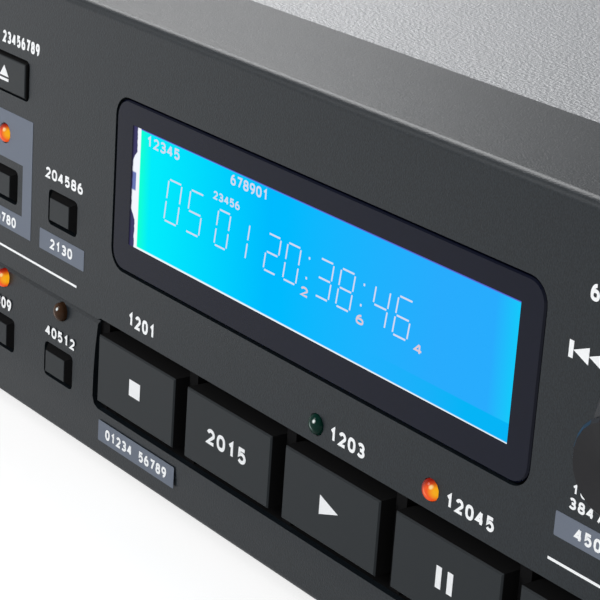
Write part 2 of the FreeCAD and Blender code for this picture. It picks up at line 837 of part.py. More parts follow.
def make_left_controls():
    """The power button and switch, the headphone socket, the level knob and its control."""
    button = plate(power_x, socket_z, power_width, power_height, power_corner,
                   -power_proud, panel_wall + rest_gap + 1.2)
    button = button.makeChamfer(power_edge, front_edges(button, -power_proud))
    button = join(button, plate(power_x, socket_z, power_width + 2.4, power_height + 2.4, 0,
                                panel_wall + rest_gap, panel_wall + rest_gap + 1.2))
    plunger_end = panel_wall + 10.0
    button = join(button, box(power_x - 1.5, power_x + 1.5, panel_wall + rest_gap, plunger_end,
                              socket_z - 1.5, socket_z + 1.5))
    switch_near = panel_wall + 7.0
    switch_far = switch_near + 22.0
    switch = box(power_x - 6, power_x + 6, switch_near, switch_far, socket_z - 7, socket_z + 7)
    bore = 1.5 + shaft_clearance
    switch = carve(switch, box(power_x - bore, power_x + bore, switch_near - 1,
                               plunger_end + power_travel + 0.3, socket_z - bore, socket_z + bore))
    bracket = box(power_x - 6, power_x + 6, switch_far - 10, switch_far, floor_top, socket_z - 7)
    switch = join(switch, bracket)

    nut = rod_along_depth(phones_x, socket_z, phones_nut_radius, -2.0, 0, fine_sides)
    nut = nut.makeChamfer(0.5, front_edges(nut, -2.0))
    bush = rod_along_depth(phones_x, socket_z, phones_bush_radius - 0.02, -0.5, phones_bush_length)
    half = phones_body_width / 2
    housing = box(phones_x - half, phones_x + half, panel_wall + 0.6, panel_wall + phones_body_depth,
                  socket_z - half, socket_z + half)
    jack = join(nut, bush, housing)
    jack = carve(jack, rod_along_depth(phones_x, socket_z, phones_bore_radius, -3,
                                       panel_wall + phones_body_depth - 2, 0))

    spindle_end = panel_wall + 4.0
    grip = []
    for index in range(2 * level_flute_count):
        for share in (0.15, 0.85):
            angle = math.pi * (index + share) / level_flute_count
            radius = level_knob_radius - level_flute_depth * (index % 2)
            grip.append(Vector(level_x + radius * math.cos(angle), face_y - level_knob_height,
                               socket_z + radius * math.sin(angle)))
    grip = Part.Face(Part.makePolygon(grip + grip[:1]))
    grip = grip.extrude(Vector(0, level_knob_height - level_shoulder, 0))
    pointer = box(level_x - 0.35, level_x + 0.35, -level_knob_height - 1, -level_knob_height + 0.4,
                  socket_z + level_knob_radius * 0.45, socket_z + level_knob_radius + 1)
    knob = join(
        carve(grip, pointer),
        rod_along_depth(level_x, socket_z, level_knob_radius, -level_shoulder, -rest_gap,
                        2 * level_flute_count),
        rod_along_depth(level_x, socket_z, level_shaft_radius, -1, spindle_end),
    )
    control = join(
        rod_along_depth(level_x, socket_z, bush_radius - 0.02, 0.2, panel_wall + 1),
        rod_along_depth(level_x, socket_z, level_body_radius, panel_wall + 0.6,
                        panel_wall + level_body_depth),
    )
    control = carve(control, rod_along_depth(level_x, socket_z, clear(level_shaft_radius + shaft_clearance),
                                             -1, spindle_end + rest_gap))
    return {"power_button": [button], "power_switch": [switch], "phones_jack": [jack],
            "level_knob": [knob], "level_control": [control]}


def loader_foot_places():
    """Middle of each foot of the loader."""
    x = loader_inner + loader_wall / 2
    near = loader_start + loader_foot_inset
    far = loader_end - loader_foot_inset
    return ((tray_x - x, near), (tray_x + x, near), (tray_x - x, far), (tray_x + x, far))


def board_hole_places():
    """Middle of each screw hole of the main and the power board."""
    places = []
    for left, right, near, far in ((main_board_left, main_board_right, main_board_near, main_board_far),
                                   (power_board_left, power_board_right, power_board_near, power_board_far)):
        for x in (left + board_hole_inset, right - board_hole_inset):
            for depth in (near + board_hole_inset, far - board_hole_inset):
                places.append((x, depth))
    return places


def make_pillars():
    """The pillars riveted into the case floor, which carry the boards and the loader."""
    solids = [rod_upright(x, depth, standoff_radius, floor_top - 0.2, board_bottom, 6)
              for x, depth in board_hole_places()]
    solids += [rod_upright(x, depth, standoff_radius, floor_top - 0.2, loader_bottom, 6)
               for x, depth in loader_foot_places()]
    return solids


def make_case():
    """The floor pan, the back plate, the cover and the feet."""
    pan_half = side_inner + sheet
    folds = [box(-pan_half, pan_half, case_near, rear_plate_far, case_bottom, floor_top)]
    for left in (-pan_half, side_inner):
        folds.append(box(left, left + sheet, case_near, rear_plate_far, case_bottom, roof))
    for left in (-pan_half, pan_half - tab_width):
        folds.append(box(left, left + tab_width, case_near, case_near + sheet, case_bottom, roof))
    pan = join(*folds, *make_pillars())

    back_half = side_inner - sheet
    folds = [box(-side_inner, side_inner, rear_plate_near, rear_plate_far, floor_top, roof),
             box(-back_half, back_half, rear_plate_near - rear_flange, rear_plate_near + 0.1,
                 roof - sheet, roof)]
    for left in (-side_inner, back_half):
        folds.append(box(left, left + sheet, rear_plate_near - rear_tab_length, rear_plate_near + 0.1,
                         -rear_tab_height / 2, rear_tab_height / 2))
    back = join(*folds)
    openings = [plate(inlet_x, socket_row_z, inlet_width + 0.2, inlet_height + 0.2, 0,
                      rear_plate_near - 1, rear_plate_near + 2),
                plate(serial_x, socket_row_z, serial_shell_width + 0.3, serial_shell_height + 0.3, 0,
                      rear_plate_near - 1, rear_plate_near + 2)]
    for index in range(rca_count):
        openings.append(rod_along_depth(rca_first_x + index * rca_pitch, socket_row_z,
                                        clear(rca_shell_radius), rear_plate_near - 1, rear_plate_near + 2))
    for index in range(cooling_slot_count):
        x = cooling_x + (index - (cooling_slot_count - 1) / 2) * cooling_slot_pitch
        openings.append(plate(x, socket_row_z, cooling_slot_width, cooling_slot_height,
                              cooling_slot_width / 2 - 0.01, rear_plate_near - 1, rear_plate_near + 2))
    back = carve(back, *openings)

    cover = join(
        box(-half_body, half_body, case_near, body_depth, roof, case_top),
        box(-half_body, -half_body + sheet, case_near, body_depth, case_bottom, case_top),
        box(half_body - sheet, half_body, case_near, body_depth, case_bottom, case_top),
        box(-half_body, half_body, body_depth - sheet, body_depth, roof - rear_flange, case_top),
    )
    feet = []
    for x in (-half_body + foot_inset_x, half_body - foot_inset_x):
        for depth in (case_near + foot_inset_depth, body_depth - foot_inset_depth):
            foot = rod_upright(x, depth, foot_radius, case_bottom - foot_height, case_bottom)
            rim = [edge for edge in foot.Edges if edge.BoundBox.ZMax < case_bottom - foot_height + 0.001]
            feet.append(foot.makeChamfer(0.4, rim))
    return {"case_pan": [pan], "back_plate": [back], "top_cover": [cover], "feet": feet}


def make_tray():
    """The disc tray with its recess, rails and rack, and the door on its front."""
    body = box(tray_x - tray_half, tray_x + tray_half, door_thickness, tray_end, tray_bottom, tray_top)
    rails = box(tray_x - tray_half - tray_rail_width, tray_x + tray_half + tray_rail_width,
                tray_rail_start, tray_end, tray_bottom, tray_bottom + tray_rail_height)
    body = join(body, rails)
    slot_end = tray_end - tray_tie_length
    tail_inner = tray_half - 9.0
    body = carve(
        body,
        rod_upright(tray_x, disc_depth, clear(recess_radius, recess_sides), tray_floor, tray_top + 1,
                    recess_sides),
        rod_upright(tray_x, disc_depth, clear(small_disc_radius, recess_sides),
                    tray_floor - small_disc_step, tray_floor + 1, recess_sides),
        rod_upright(tray_x, disc_depth, slot_half, tray_bottom - 1, tray_top + 1, fine_sides),
        box(tray_x - slot_half, tray_x + slot_half, disc_depth, slot_end, tray_bottom - 1, tray_top + 1),
        box(tray_x - slot_half, tray_x + slot_half, slot_end - 1, tray_end + 1,
            tray_bottom - 1, tray_top - tray_tie_thickness),
        box(tray_x - tail_inner, tray_x + tail_inner, disc_depth + recess_radius * 0.75, slot_end,
            tray_floor, tray_top + 1),
    )
    finger = Part.makeCylinder(16.0, tray_top - tray_floor + 1,
                               Vector(tray_x, face_y + disc_depth - recess_radius + 10.0, tray_floor),
                               Vector(0, 0, 1))
    front_guard = box(tray_x - 20, tray_x + 20, 0, door_thickness + 1.4, tray_bottom, tray_top + 1)
    body = carve(body, finger.cut(front_guard))
    rack_left = tray_x + rack_offset - rack_back
    tooth_pitch = math.pi * rack_module
    half_run = rack_tooth_count * tooth_pitch / 2
    rack_middle = pinion_depth + tray_travel / 2
    first = rack_middle - half_run
    count_before = round((pinion_depth - first) / tooth_pitch)
    first = pinion_depth - count_before * tooth_pitch
    corners = [(rack_left, first), (rack_left + rack_back - 1.15 * rack_module, first)]
    for tooth in range(rack_tooth_count):
        start = first + tooth * tooth_pitch
        root = rack_left + rack_back - 1.15 * rack_module
        tip = rack_left + rack_back + 0.9 * rack_module
        corners += [(root, start + 0.17 * tooth_pitch), (tip, start + 0.38 * tooth_pitch),
                    (tip, start + 0.62 * tooth_pitch), (root, start + 0.83 * tooth_pitch)]
    last = first + rack_tooth_count * tooth_pitch
    corners += [(corners[1][0], last), (rack_left, last)]
    points = [Vector(x, face_y + depth, rack_bottom) for x, depth in corners]
    rack = Part.Face(Part.makePolygon(points + points[:1])).extrude(Vector(0, 0, tray_bottom - rack_bottom))
    body = join(body, rack)

    door = plate(tray_x, door_z, door_width, door_height, door_corner, 0, door_thickness)
    door = door.makeChamfer(0.3, front_edges(door, 0))
    return {"disc_tray": [body], "tray_door": [door]}


def make_loader():
    """The moulded loader frame, its motor and the two gears that drive the rack."""
    outer = loader_inner + loader_wall
    floor = box(tray_x - outer, tray_x + outer, loader_start, loader_end, loader_bottom, loader_floor_top)
    walls = [box(tray_x + low, tray_x + high, loader_start, loader_end, loader_bottom, loader_wall_top)
             for low, high in ((-outer, -loader_inner), (loader_inner, outer))]
    rear = box(tray_x - outer, tray_x + outer, loader_end - 2.0, loader_end, loader_bottom, tray_bottom - 1.0)
    lugs = [box(tray_x + side * (deck_half_width + 3) - 2, tray_x + side * (deck_half_width + 3) + 2,
                deck_pivot_depth - deck_pivot_boss, deck_pivot_depth + deck_pivot_boss,
                loader_bottom, pivot_z + deck_pivot_boss) for side in (-1, 1)]
    pin = rod_upright(gear_x, pinion_depth, gear_pin_radius, loader_floor_top - 0.5, tray_bottom - gear_gap)
    collar = rod_upright(gear_x, pinion_depth, 3.0, loader_floor_top - 0.5, reduction_bottom - gear_gap)
    frame = join(floor, *walls, rear, *lugs, pin, collar)
    groove_half = tray_rail_width + 2 * tray_gap
    groove_low = tray_bottom - tray_gap
    groove_high = tray_bottom + tray_rail_height + tray_gap
    frame = carve(
        frame,
        box(tray_x - tray_half - groove_half, tray_x + tray_half + groove_half, loader_start - 1,
            loader_end - 4, groove_low, groove_high),
        box(tray_x - loader_bay_half, tray_x + loader_bay_half, loader_bay_start,
            deck_pivot_depth - deck_pivot_boss - 1, loader_bottom - 1, loader_floor_top + 1),
        rod_upright(motor_x, pinion_depth, clear(motor_radius + 0.1), loader_bottom - 1,
                    loader_floor_top + 1),
        rod_across(deck_pivot_depth, pivot_z, clear(deck_pivot_radius + shaft_clearance),
                   tray_x - deck_half_width - 6, tray_x + deck_half_width + 6),
    )
    bore = gear_pin_radius + shaft_clearance
    pinion = gear(gear_x, pinion_depth, rack_module, pinion_teeth, reduction_top - 0.1,
                  tray_bottom - gear_gap, math.pi, bore)
    half_tooth = math.pi / reduction_teeth
    wheel = gear(gear_x, pinion_depth, reduction_module, reduction_teeth, reduction_bottom, reduction_top,
                 math.pi + half_tooth, bore)
    motor_low = floor_top + rest_gap
    motor_high = reduction_bottom - 1.0
    motor = join(rod_upright(motor_x, pinion_depth, motor_radius, motor_low, motor_high),
                 rod_upright(motor_x, pinion_depth, 2.5, motor_high - 0.1, motor_high + 0.6))
    motor = carve(motor, rod_upright(motor_x, pinion_depth, clear(motor_shaft_radius + shaft_clearance),
                                     motor_high - 4, motor_high + 2))
    motor_gear = gear(motor_x, pinion_depth, reduction_module, motor_gear_teeth, reduction_bottom,
                      reduction_top, 0.0, motor_shaft_radius - 0.3)
    shaft = rod_upright(motor_x, pinion_depth, motor_shaft_radius, motor_high - 3.8, reduction_top + 0.4)
    return {"loader_frame": [frame], "loading_motor": [motor], "tray_pinion": [join(pinion, wheel)],
            "motor_gear": [join(motor_gear, shaft)]}


def make_deck():
    """The tilting deck with its spindle motor, turntable, pickup, rods and sled screw."""
    low = deck_bottom
    deck_left = tray_x - deck_half_width
    deck_right = tray_x + deck_half_width
    deck = box(deck_left, deck_right, deck_front, deck_pivot_depth, low, deck_top)
    skirts = [box(left, left + deck_sheet, deck_front, deck_pivot_depth + 2, low - deck_skirt, deck_top)
              for left in (deck_left, deck_right - deck_sheet)]
    rod_near = pickup_rest - pickup_half_length - 3.0
    rod_far = pickup_rest + pickup_travel + pickup_half_length + 3.0
    tab_low = rod_z - guide_rod_radius - 1.0
    tabs = []
    for depth in (rod_near - rod_tab, rod_far):
        for side in (-1, 1):
            x = tray_x + side * guide_rod_offset
            tabs.append(box(x - rod_tab_half, x + rod_tab_half, depth, depth + rod_tab,
                            tab_low, low + 0.1))
    pins = rod_across(deck_pivot_depth, pivot_z, deck_pivot_radius,
                      tray_x - deck_half_width - 5, tray_x + deck_half_width + 5)
    screw_x = tray_x - sled_screw_offset
    screw_z = low - sled_motor_radius - 0.3
    bracket = box(screw_x - 2.6, screw_x + 4, rod_near - rod_tab, rod_near, screw_z - 3, low + 0.1)
    deck = join(deck, *skirts, *tabs, pins, bracket)
    slot = box(tray_x - slot_half, tray_x + slot_half, rod_near, rod_far, low - 1, deck_top + 1)
    rod_hole = guide_rod_radius + 0.01
    tools = [slot, rod_upright(tray_x, disc_depth, spindle_radius + 1.5, low - 1, deck_top + 1)]
    for side in (-1, 1):
        tools.append(rod_along_depth(tray_x + side * guide_rod_offset, rod_z, clear(rod_hole),
                                     rod_near - rod_tab - 1, rod_far + rod_tab + 1))
    sled_run = rod_far - 2.0
    tools.append(rod_along_depth(screw_x, screw_z, clear(sled_screw_radius + shaft_clearance),
                                 rod_near - rod_tab - 1, rod_near + 1))
    tools.append(box(deck_left - 1, deck_left + deck_sheet + 0.1, rod_near,
                     sled_run + sled_motor_length + 1, low - deck_skirt - 1, low))
    deck = carve(deck, *tools)

    rods = [rod_along_depth(tray_x + side * guide_rod_offset, rod_z, guide_rod_radius,
                            rod_near - rod_tab, rod_far + rod_tab) for side in (-1, 1)]

    motor_high = low
    motor_low = motor_high - spindle_motor_height
    motor = rod_upright(tray_x, disc_depth, spindle_motor_radius, motor_low, motor_high)
    motor = carve(motor, rod_upright(tray_x, disc_depth, clear(spindle_radius + shaft_clearance),
                                     motor_low + 1, motor_high + 1))
    platter = rod_upright(tray_x, disc_depth, platter_radius, platter_top - platter_thickness,
                          platter_top, fine_sides)
    hub = rod_upright(tray_x, disc_depth, hub_radius, platter_top - 0.1, platter_top + hub_height, fine_sides)
    rim = [edge for edge in hub.Edges if edge.BoundBox.ZMin > platter_top + hub_height - 0.01]
    hub = hub.makeChamfer(1.2, rim)
    sleeve = rod_upright(tray_x, disc_depth, 3.0, deck_top + 0.8, platter_top - platter_thickness + 0.1)
    spindle = rod_upright(tray_x, disc_depth, spindle_radius, motor_low + 1.2, platter_top)
    turntable = join(platter, hub, sleeve, spindle)

    body_low = pickup_top - pickup_height
    near = pickup_rest - pickup_half_length
    far = pickup_rest + pickup_half_length
    body = box(tray_x - pickup_half_width, tray_x + pickup_half_width, near, far, body_low, pickup_top)
    arm = box(screw_x - 3.0, tray_x - pickup_half_width + 1, pickup_rest - 4, pickup_rest + 4,
              screw_z - 2.6, pickup_top)
    barrel = rod_upright(tray_x, pickup_rest, lens_barrel_radius, pickup_top - 0.5, lens_top - 1.2)
    lens = rod_upright(tray_x, pickup_rest, lens_radius, lens_top - 1.3, lens_top)
    pickup = join(body, arm, barrel, lens)
    run = rod_hole + 0.03
    fork = tray_x + guide_rod_offset
    pickup = carve(
        pickup,
        rod_along_depth(tray_x - guide_rod_offset, rod_z, clear(run), near - 1, far + 1),
        box(fork - run, tray_x + pickup_half_width + 1, near - 1, far + 1, rod_z - run, rod_z + run),
        rod_along_depth(screw_x, screw_z, clear(sled_screw_radius + shaft_clearance), near - 1, far + 1),
    )
    sled_motor_near = sled_run
    sled_motor = rod_along_depth(screw_x, screw_z, sled_motor_radius, sled_motor_near,
                                 sled_motor_near + sled_motor_length)
    saddle = box(screw_x - 2, screw_x + 2, sled_motor_near, sled_motor_near + sled_motor_length,
                 screw_z + sled_motor_radius - 0.4, low)
    sled_motor = carve(join(sled_motor, saddle),
                       rod_along_depth(screw_x, screw_z, clear(sled_screw_radius + shaft_clearance),
                                       sled_motor_near - 1, sled_motor_near + 5))
    lead = rod_along_depth(screw_x, screw_z, sled_screw_radius, rod_near - rod_tab, sled_motor_near + 4.8)
    return {"disc_deck": [deck], "guide_rods": rods, "spindle_motor": [motor], "turntable": [turntable],
            "laser_pickup": [pickup], "sled_motor": [sled_motor], "sled_screw": [lead]}


def make_clamp():
    """The steel bridge over the tray and the puck that hangs in it."""
    outer = loader_inner + loader_wall
    near = disc_depth - bridge_width / 2
    far = disc_depth + bridge_width / 2
    strip = box(tray_x - outer, tray_x + outer, near, far, bridge_bottom, bridge_top)
    ribs = [box(tray_x - outer, tray_x + outer, edge, edge + sheet, bridge_bottom, bridge_top + bridge_rise)
            for edge in (near, far - sheet)]
    bridge = join(strip, *ribs)
    neck_hole = puck_neck_radius + puck_neck_gap
    bridge = carve(bridge, rod_upright(tray_x, disc_depth, clear(neck_hole, fine_sides), bridge_bottom - 1,
                                       bridge_top + 3, fine_sides))
    cap_low = bridge_top + 0.2
    puck = join(
        rod_upright(tray_x, disc_depth, puck_radius, puck_bottom, puck_bottom + puck_thickness, fine_sides),
        rod_upright(tray_x, disc_depth, puck_neck_radius, puck_bottom, cap_low + 0.1, fine_sides),
        rod_upright(tray_x, disc_depth, puck_cap_radius, cap_low, cap_low + puck_cap_thickness, fine_sides),
    )
    puck = carve(puck, rod_upright(tray_x, disc_depth, clear(hub_radius + puck_recess_gap, fine_sides),
                                   puck_bottom - 1, puck_bottom + puck_recess, fine_sides))
    return {"clamp_bridge": [bridge], "clamp_puck": [puck]}


def make_boards():
    """The main board, the power board, the transformer, the capacitors and the heat sink."""
    main_board = box(main_board_left, main_board_right, main_board_near, main_board_far,
                     board_bottom, board_top)
    power_board = box(power_board_left, power_board_right, power_board_near, power_board_far,
                      board_bottom, board_top)
    core_near = power_board_far - transformer_rear_gap - transformer_depth
    core_far = core_near + transformer_depth
    core_top = board_top + transformer_height
    half = transformer_width / 2
    core = box(power_board_middle - half, power_board_middle + half, core_near + winding_reach,
               core_far - winding_reach, board_top, core_top)
    half = transformer_winding / 2
    winding = box(power_board_middle - half, power_board_middle + half, core_near, core_far,
                  board_top + winding_drop, core_top - winding_drop)
    transformer = join(core, winding)
    capacitors = []
    for index in range(4):
        x = power_board_left + capacitor_side_gap + (index % 2) * capacitor_pitch_x
        depth = power_board_near + capacitor_front_gap + (index // 2) * capacitor_pitch_depth
        capacitors.append(rod_upright(x, depth, capacitor_radius, board_top, board_top + capacitor_height))
    sink_near = power_board_near + heat_sink_front_gap
    sink_left = power_board_left + heat_sink_side_gap
    sink_right = power_board_right - heat_sink_side_gap
    sink_top = board_top + heat_fin_height
    base = box(sink_left, sink_right, sink_near, sink_near + heat_sink_base, board_top, sink_top)
    fins = []
    for index in range(heat_fin_count):
        left = sink_left + index * (sink_right - sink_left - heat_fin_thickness) / (heat_fin_count - 1)
        fins.append(box(left, left + heat_fin_thickness, sink_near + heat_sink_base / 2,
                        sink_near + heat_sink_base + heat_fin_reach, board_top, sink_top))
    ribbon_x = (main_board_left + main_board_right) / 2
    ribbon_left = ribbon_x - ribbon_width / 2
    ribbon_right = ribbon_x + ribbon_width / 2
    ribbon_top = ribbon_level + ribbon_thickness
    board_back = front_board_depth + board_thickness
    socket_near = main_board_near + ribbon_socket_inset
    ribbon = join(
        box(ribbon_left, ribbon_right, board_back, board_back + ribbon_plug_depth,
            ribbon_level - ribbon_plug_height / 2, ribbon_level + ribbon_plug_height / 2),
        box(ribbon_left, ribbon_right, board_back + ribbon_plug_depth / 2,
            socket_near + ribbon_socket_length / 2, ribbon_level, ribbon_top),
        box(ribbon_left, ribbon_right, socket_near, socket_near + ribbon_socket_length, board_top,
            ribbon_top + ribbon_thickness),
    )
    return {"main_board": [main_board], "power_board": [power_board],
            "transformer": [transformer], "capacitors": capacitors, "heat_sink": [join(base, *fins)],
            "front_ribbon": [ribbon]}


def make_sockets():
    """The mains inlet, the round sockets and the serial socket on the back."""
    inner = rear_plate_near - inlet_depth + inlet_flange
    outer_face = rear_plate_near + sheet + inlet_flange
    inlet = join(
        plate(inlet_x, socket_row_z, inlet_width, inlet_height, 0, inner, outer_face),
        plate(inlet_x, socket_row_z, inlet_width + 5, inlet_height + 4, 2.0,
              rear_plate_near + sheet, outer_face),
    )
    cavity_near = outer_face - inlet_cavity_depth
    cavity = plate(inlet_x, socket_row_z, inlet_cavity_width, inlet_cavity_height, 0,
                   cavity_near, outer_face + 1)
    upright = [edge for edge in cavity.Edges
               if edge.BoundBox.YLength > 5 and edge.BoundBox.ZMin > socket_row_z]
    cavity = cavity.makeChamfer(4.5, upright)
    inlet = carve(inlet, cavity)
    pins = []
    for x, z in ((inlet_x - 7, socket_row_z + 0.5), (inlet_x + 7, socket_row_z + 0.5),
                 (inlet_x, socket_row_z + 4.0)):
        pins.append(box(x - 1, x + 1, cavity_near - 0.5, outer_face - 2, z - 2, z + 2))
    inlet = join(inlet, *pins)

    jacks = []
    for index in range(rca_count):
        x = rca_first_x + index * rca_pitch
        near = rear_plate_near - rca_block
        block = box(x - rca_block / 2, x + rca_block / 2, near, rear_plate_near, board_top, socket_row_z + 7)
        outside = rear_plate_far + rca_root
        end = outside + rca_length
        root = rod_along_depth(x, socket_row_z, rca_shell_radius - 0.25, rear_plate_near - 0.5,
                               outside + 0.1, jack_sides)
        shell = rod_along_depth(x, socket_row_z, rca_shell_radius, outside, end, 0)
        ring_cut = rod_along_depth(x, socket_row_z, rca_core_radius, outside + 0.4, end + 1, jack_sides)
        core = rod_along_depth(x, socket_row_z, rca_core_radius - 0.7, outside, end - 1, jack_sides)
        core = carve(core, rod_along_depth(x, socket_row_z, rca_pin_hole_radius, outside + 1, end, 8))
        jacks.append(join(carve(join(block, root, shell), ring_cut), core))
    shell = plate(serial_x, socket_row_z, serial_shell_width, serial_shell_height, 1.5,
                  rear_plate_near - 6, rear_plate_near + sheet + serial_shell_length)
    flange = plate(serial_x, socket_row_z, serial_width, serial_height, 0,
                   rear_plate_near - 1.0, rear_plate_near)
    stand = box(serial_x - 9, serial_x + 9, rear_plate_near - 12, rear_plate_near - 5, board_top,
                socket_row_z + 4)
    return {"mains_inlet": [inlet], "line_jacks": jacks, "serial_port": [join(shell, flange, stand)]}


def export(pieces):
    """Write one file for each named piece, with all of its solids."""
    os.makedirs("parts", exist_ok=True)
    for name, solids in pieces.items():
        shape = solids[0] if len(solids) == 1 else Part.makeCompound(solids)
        shape.exportStep("parts/" + name + ".step")


def main():
    """Build every piece and write it."""
    pieces = {"front_panel": [make_front_panel()]}
    pieces.update(make_display())
    pieces.update(make_keys())
    for name, places in lamp_places().items():
        pieces[name] = [make_lamp(x, z) for x, z in places]
    for maker in (make_front_board, make_dial, make_left_controls, make_case,
                  make_tray, make_loader, make_deck, make_clamp, make_boards, make_sockets):
        pieces.update(maker())
    export(pieces)
    print(len(pieces), "files written")


main()
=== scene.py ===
"""Looks of a one-unit rack disc player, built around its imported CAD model.

Lengths are in millimetres and are turned into metres where meshes are made. Depths are counted from the
panel's front face towards the back, so a negative depth stands proud of the panel.
"""

import logging
import math
from collections.abc import Iterable, Sequence
from dataclasses import dataclass, field
from enum import Enum
from typing import Any

import bmesh
import bpy
import numpy as np
from mathutils import Matrix, Vector

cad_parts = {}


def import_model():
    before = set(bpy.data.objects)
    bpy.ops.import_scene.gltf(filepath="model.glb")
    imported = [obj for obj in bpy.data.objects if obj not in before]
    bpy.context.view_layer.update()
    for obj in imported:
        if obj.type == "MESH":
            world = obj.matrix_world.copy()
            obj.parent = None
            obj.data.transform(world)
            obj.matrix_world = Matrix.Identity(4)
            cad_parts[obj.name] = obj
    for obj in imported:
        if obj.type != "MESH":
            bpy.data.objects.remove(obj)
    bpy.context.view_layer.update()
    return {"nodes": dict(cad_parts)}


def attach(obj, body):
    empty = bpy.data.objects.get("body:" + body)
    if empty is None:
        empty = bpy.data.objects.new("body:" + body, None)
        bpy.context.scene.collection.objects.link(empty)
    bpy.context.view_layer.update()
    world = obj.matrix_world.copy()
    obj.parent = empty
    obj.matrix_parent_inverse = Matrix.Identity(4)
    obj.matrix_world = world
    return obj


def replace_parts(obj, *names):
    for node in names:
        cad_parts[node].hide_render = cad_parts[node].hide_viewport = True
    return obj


log = logging.getLogger("scene")

# Metres in a millimetre.
MM = 0.001
# Where the panel's front face lies along the frame's depth axis, in millimetres.
FACE = -3.0
# The body that carries whatever doesn't move.
ROOT = "case"
# The stretch that the values of a noise texture mostly fill.
NOISE_LOW, NOISE_HIGH = 0.2, 0.8

Point = tuple[float, float]
Triple = tuple[float, float, float]
Socket = bpy.types.NodeSocket
Value = float | Sequence[float] | Socket
Inputs = dict[str | int, Value]


def linear(code: str, share: float = 1.0) -> tuple[float, float, float, float]:
    """Turns an sRGB hex code into a linear colour.

    Args:
        code: six hex digits after a hash sign.
        share: what the colour is multiplied by.

    Returns:
        Linear red, green, blue and an alpha of 1.
    """
    parts = np.array([int(code[at:at + 2], 16) for at in (1, 3, 5)]) / 255.0
    high = ((parts + 0.055) / 1.055) ** 2.4
    red, green, blue = np.minimum(np.where(parts <= 0.04045, parts / 12.92, high) * share, 1.0)
    return float(red), float(green), float(blue), 1.0


class Shader:
    """The nodes of a material or of the world, put together one by one."""

    def __init__(self, owner: bpy.types.Material | bpy.types.World) -> None:
        """Starts with no nodes.

        Args:
            owner: what the nodes are for.
        """
        owner.use_nodes = True
        self.tree = owner.node_tree
        self.tree.nodes.clear()

    def add(self, kind: str, inputs: Inputs | None = None, output: str | int = 0,
            **settings: Any) -> Socket | None:
        """Adds one node with its settings and links.

        Args:
            kind: Blender's name of the node type, without its first word.
            inputs: constants, or sockets to link, by input name or number.
            output: name or number of the wanted output.
            **settings: the node's own properties.

        Returns:
            The wanted output, or None for a node without one.
        """
        node = self.tree.nodes.new("ShaderNode" + kind)
        for key, value in settings.items():
            setattr(node, key, value)
        for key, value in (inputs or {}).items():
            if isinstance(value, Socket):
                self.tree.links.new(value, node.inputs[key])
            else:
                node.inputs[key].default_value = value
        return node.outputs[output] if len(node.outputs) else None

    def seen(self) -> Socket:
        """Tells apart the rays that see the backdrop.

        Returns:
            1 for rays from the camera, from a shiny surface or through a clear one, and 0 for others.
        """
        names = ("Camera", "Glossy", "Transmission")
        kinds = [self.add("LightPath", output=f"Is {name} Ray") for name in names]
        some = self.add("Math", {0: kinds[0], 1: kinds[1]}, operation="MAXIMUM")
        return self.add("Math", {0: some, 1: kinds[2]}, operation="MAXIMUM")

    def within(self, position: Socket, low: float, high: float, soft: float) -> Socket:
        """Marks a stretch whose ends are soft.

        Args:
            position: what is compared with the ends.
            low: where the stretch starts.
            high: where it ends.
            soft: half the length over which an end fades.

        Returns:
            1 inside the stretch and 0 outside it.
        """
        rise = self.add("MapRange", {0: position, 1: low - soft, 2: low + soft})
        fall = self.add("MapRange", {0: position, 1: high - soft, 2: high + soft, 3: 1.0, 4: 0.0})
        return self.add("Math", {0: rise, 1: fall}, operation="MULTIPLY")

    def layered(self, colour: Value, *layers: tuple[Value, str]) -> Socket:
        """Lays colours over a first one.

        Args:
            colour: the first colour.
            *layers: the share, from 0 to 1, and the hex code of each further colour.

        Returns:
            The colour after the last layer.
        """
        for share, code in layers:
            colour = self.add("Mix", {0: share, 6: colour, 7: linear(code)}, output=2, data_type="RGBA")
        return colour


class Surface(Shader):
    """A procedural material whose patterns follow the piece's own coordinates in millimetres."""

    def __init__(self, name: str) -> None:
        """Starts a material.

        Args:
            name: the real material and how its surface was made.
        """
        self.material = bpy.data.materials.new(name)
        super().__init__(self.material)
        metres = self.add("TexCoord", output="Object")
        self.place = self.add("VectorMath", {0: metres, 1: (1 / MM,) * 3}, operation="MULTIPLY")
        axes = [self.add("SeparateXYZ", {0: self.place}, output=axis) for axis in range(3)]
        self.x, self.y, self.z = axes

    def finish(self, inputs: Inputs) -> bpy.types.Material:
        """Ends with one Principled surface and gives back the material."""
        self.add("OutputMaterial", {"Surface": self.add("BsdfPrincipled", inputs)})
        return self.material


def lit_from_behind(colour: Value) -> Inputs:
    """Describes a film or an ink that is seen only by the light that comes through it.

    Args:
        colour: the colour of that light.

    Returns:
        The settings of its surface.
    """
    return {
        "Base Color": linear("#000000"),
        "Roughness": 1.0,
        "Specular IOR Level": 0.0,
        "Emission Color": colour,
        "Emission Strength": 1.0,
    }


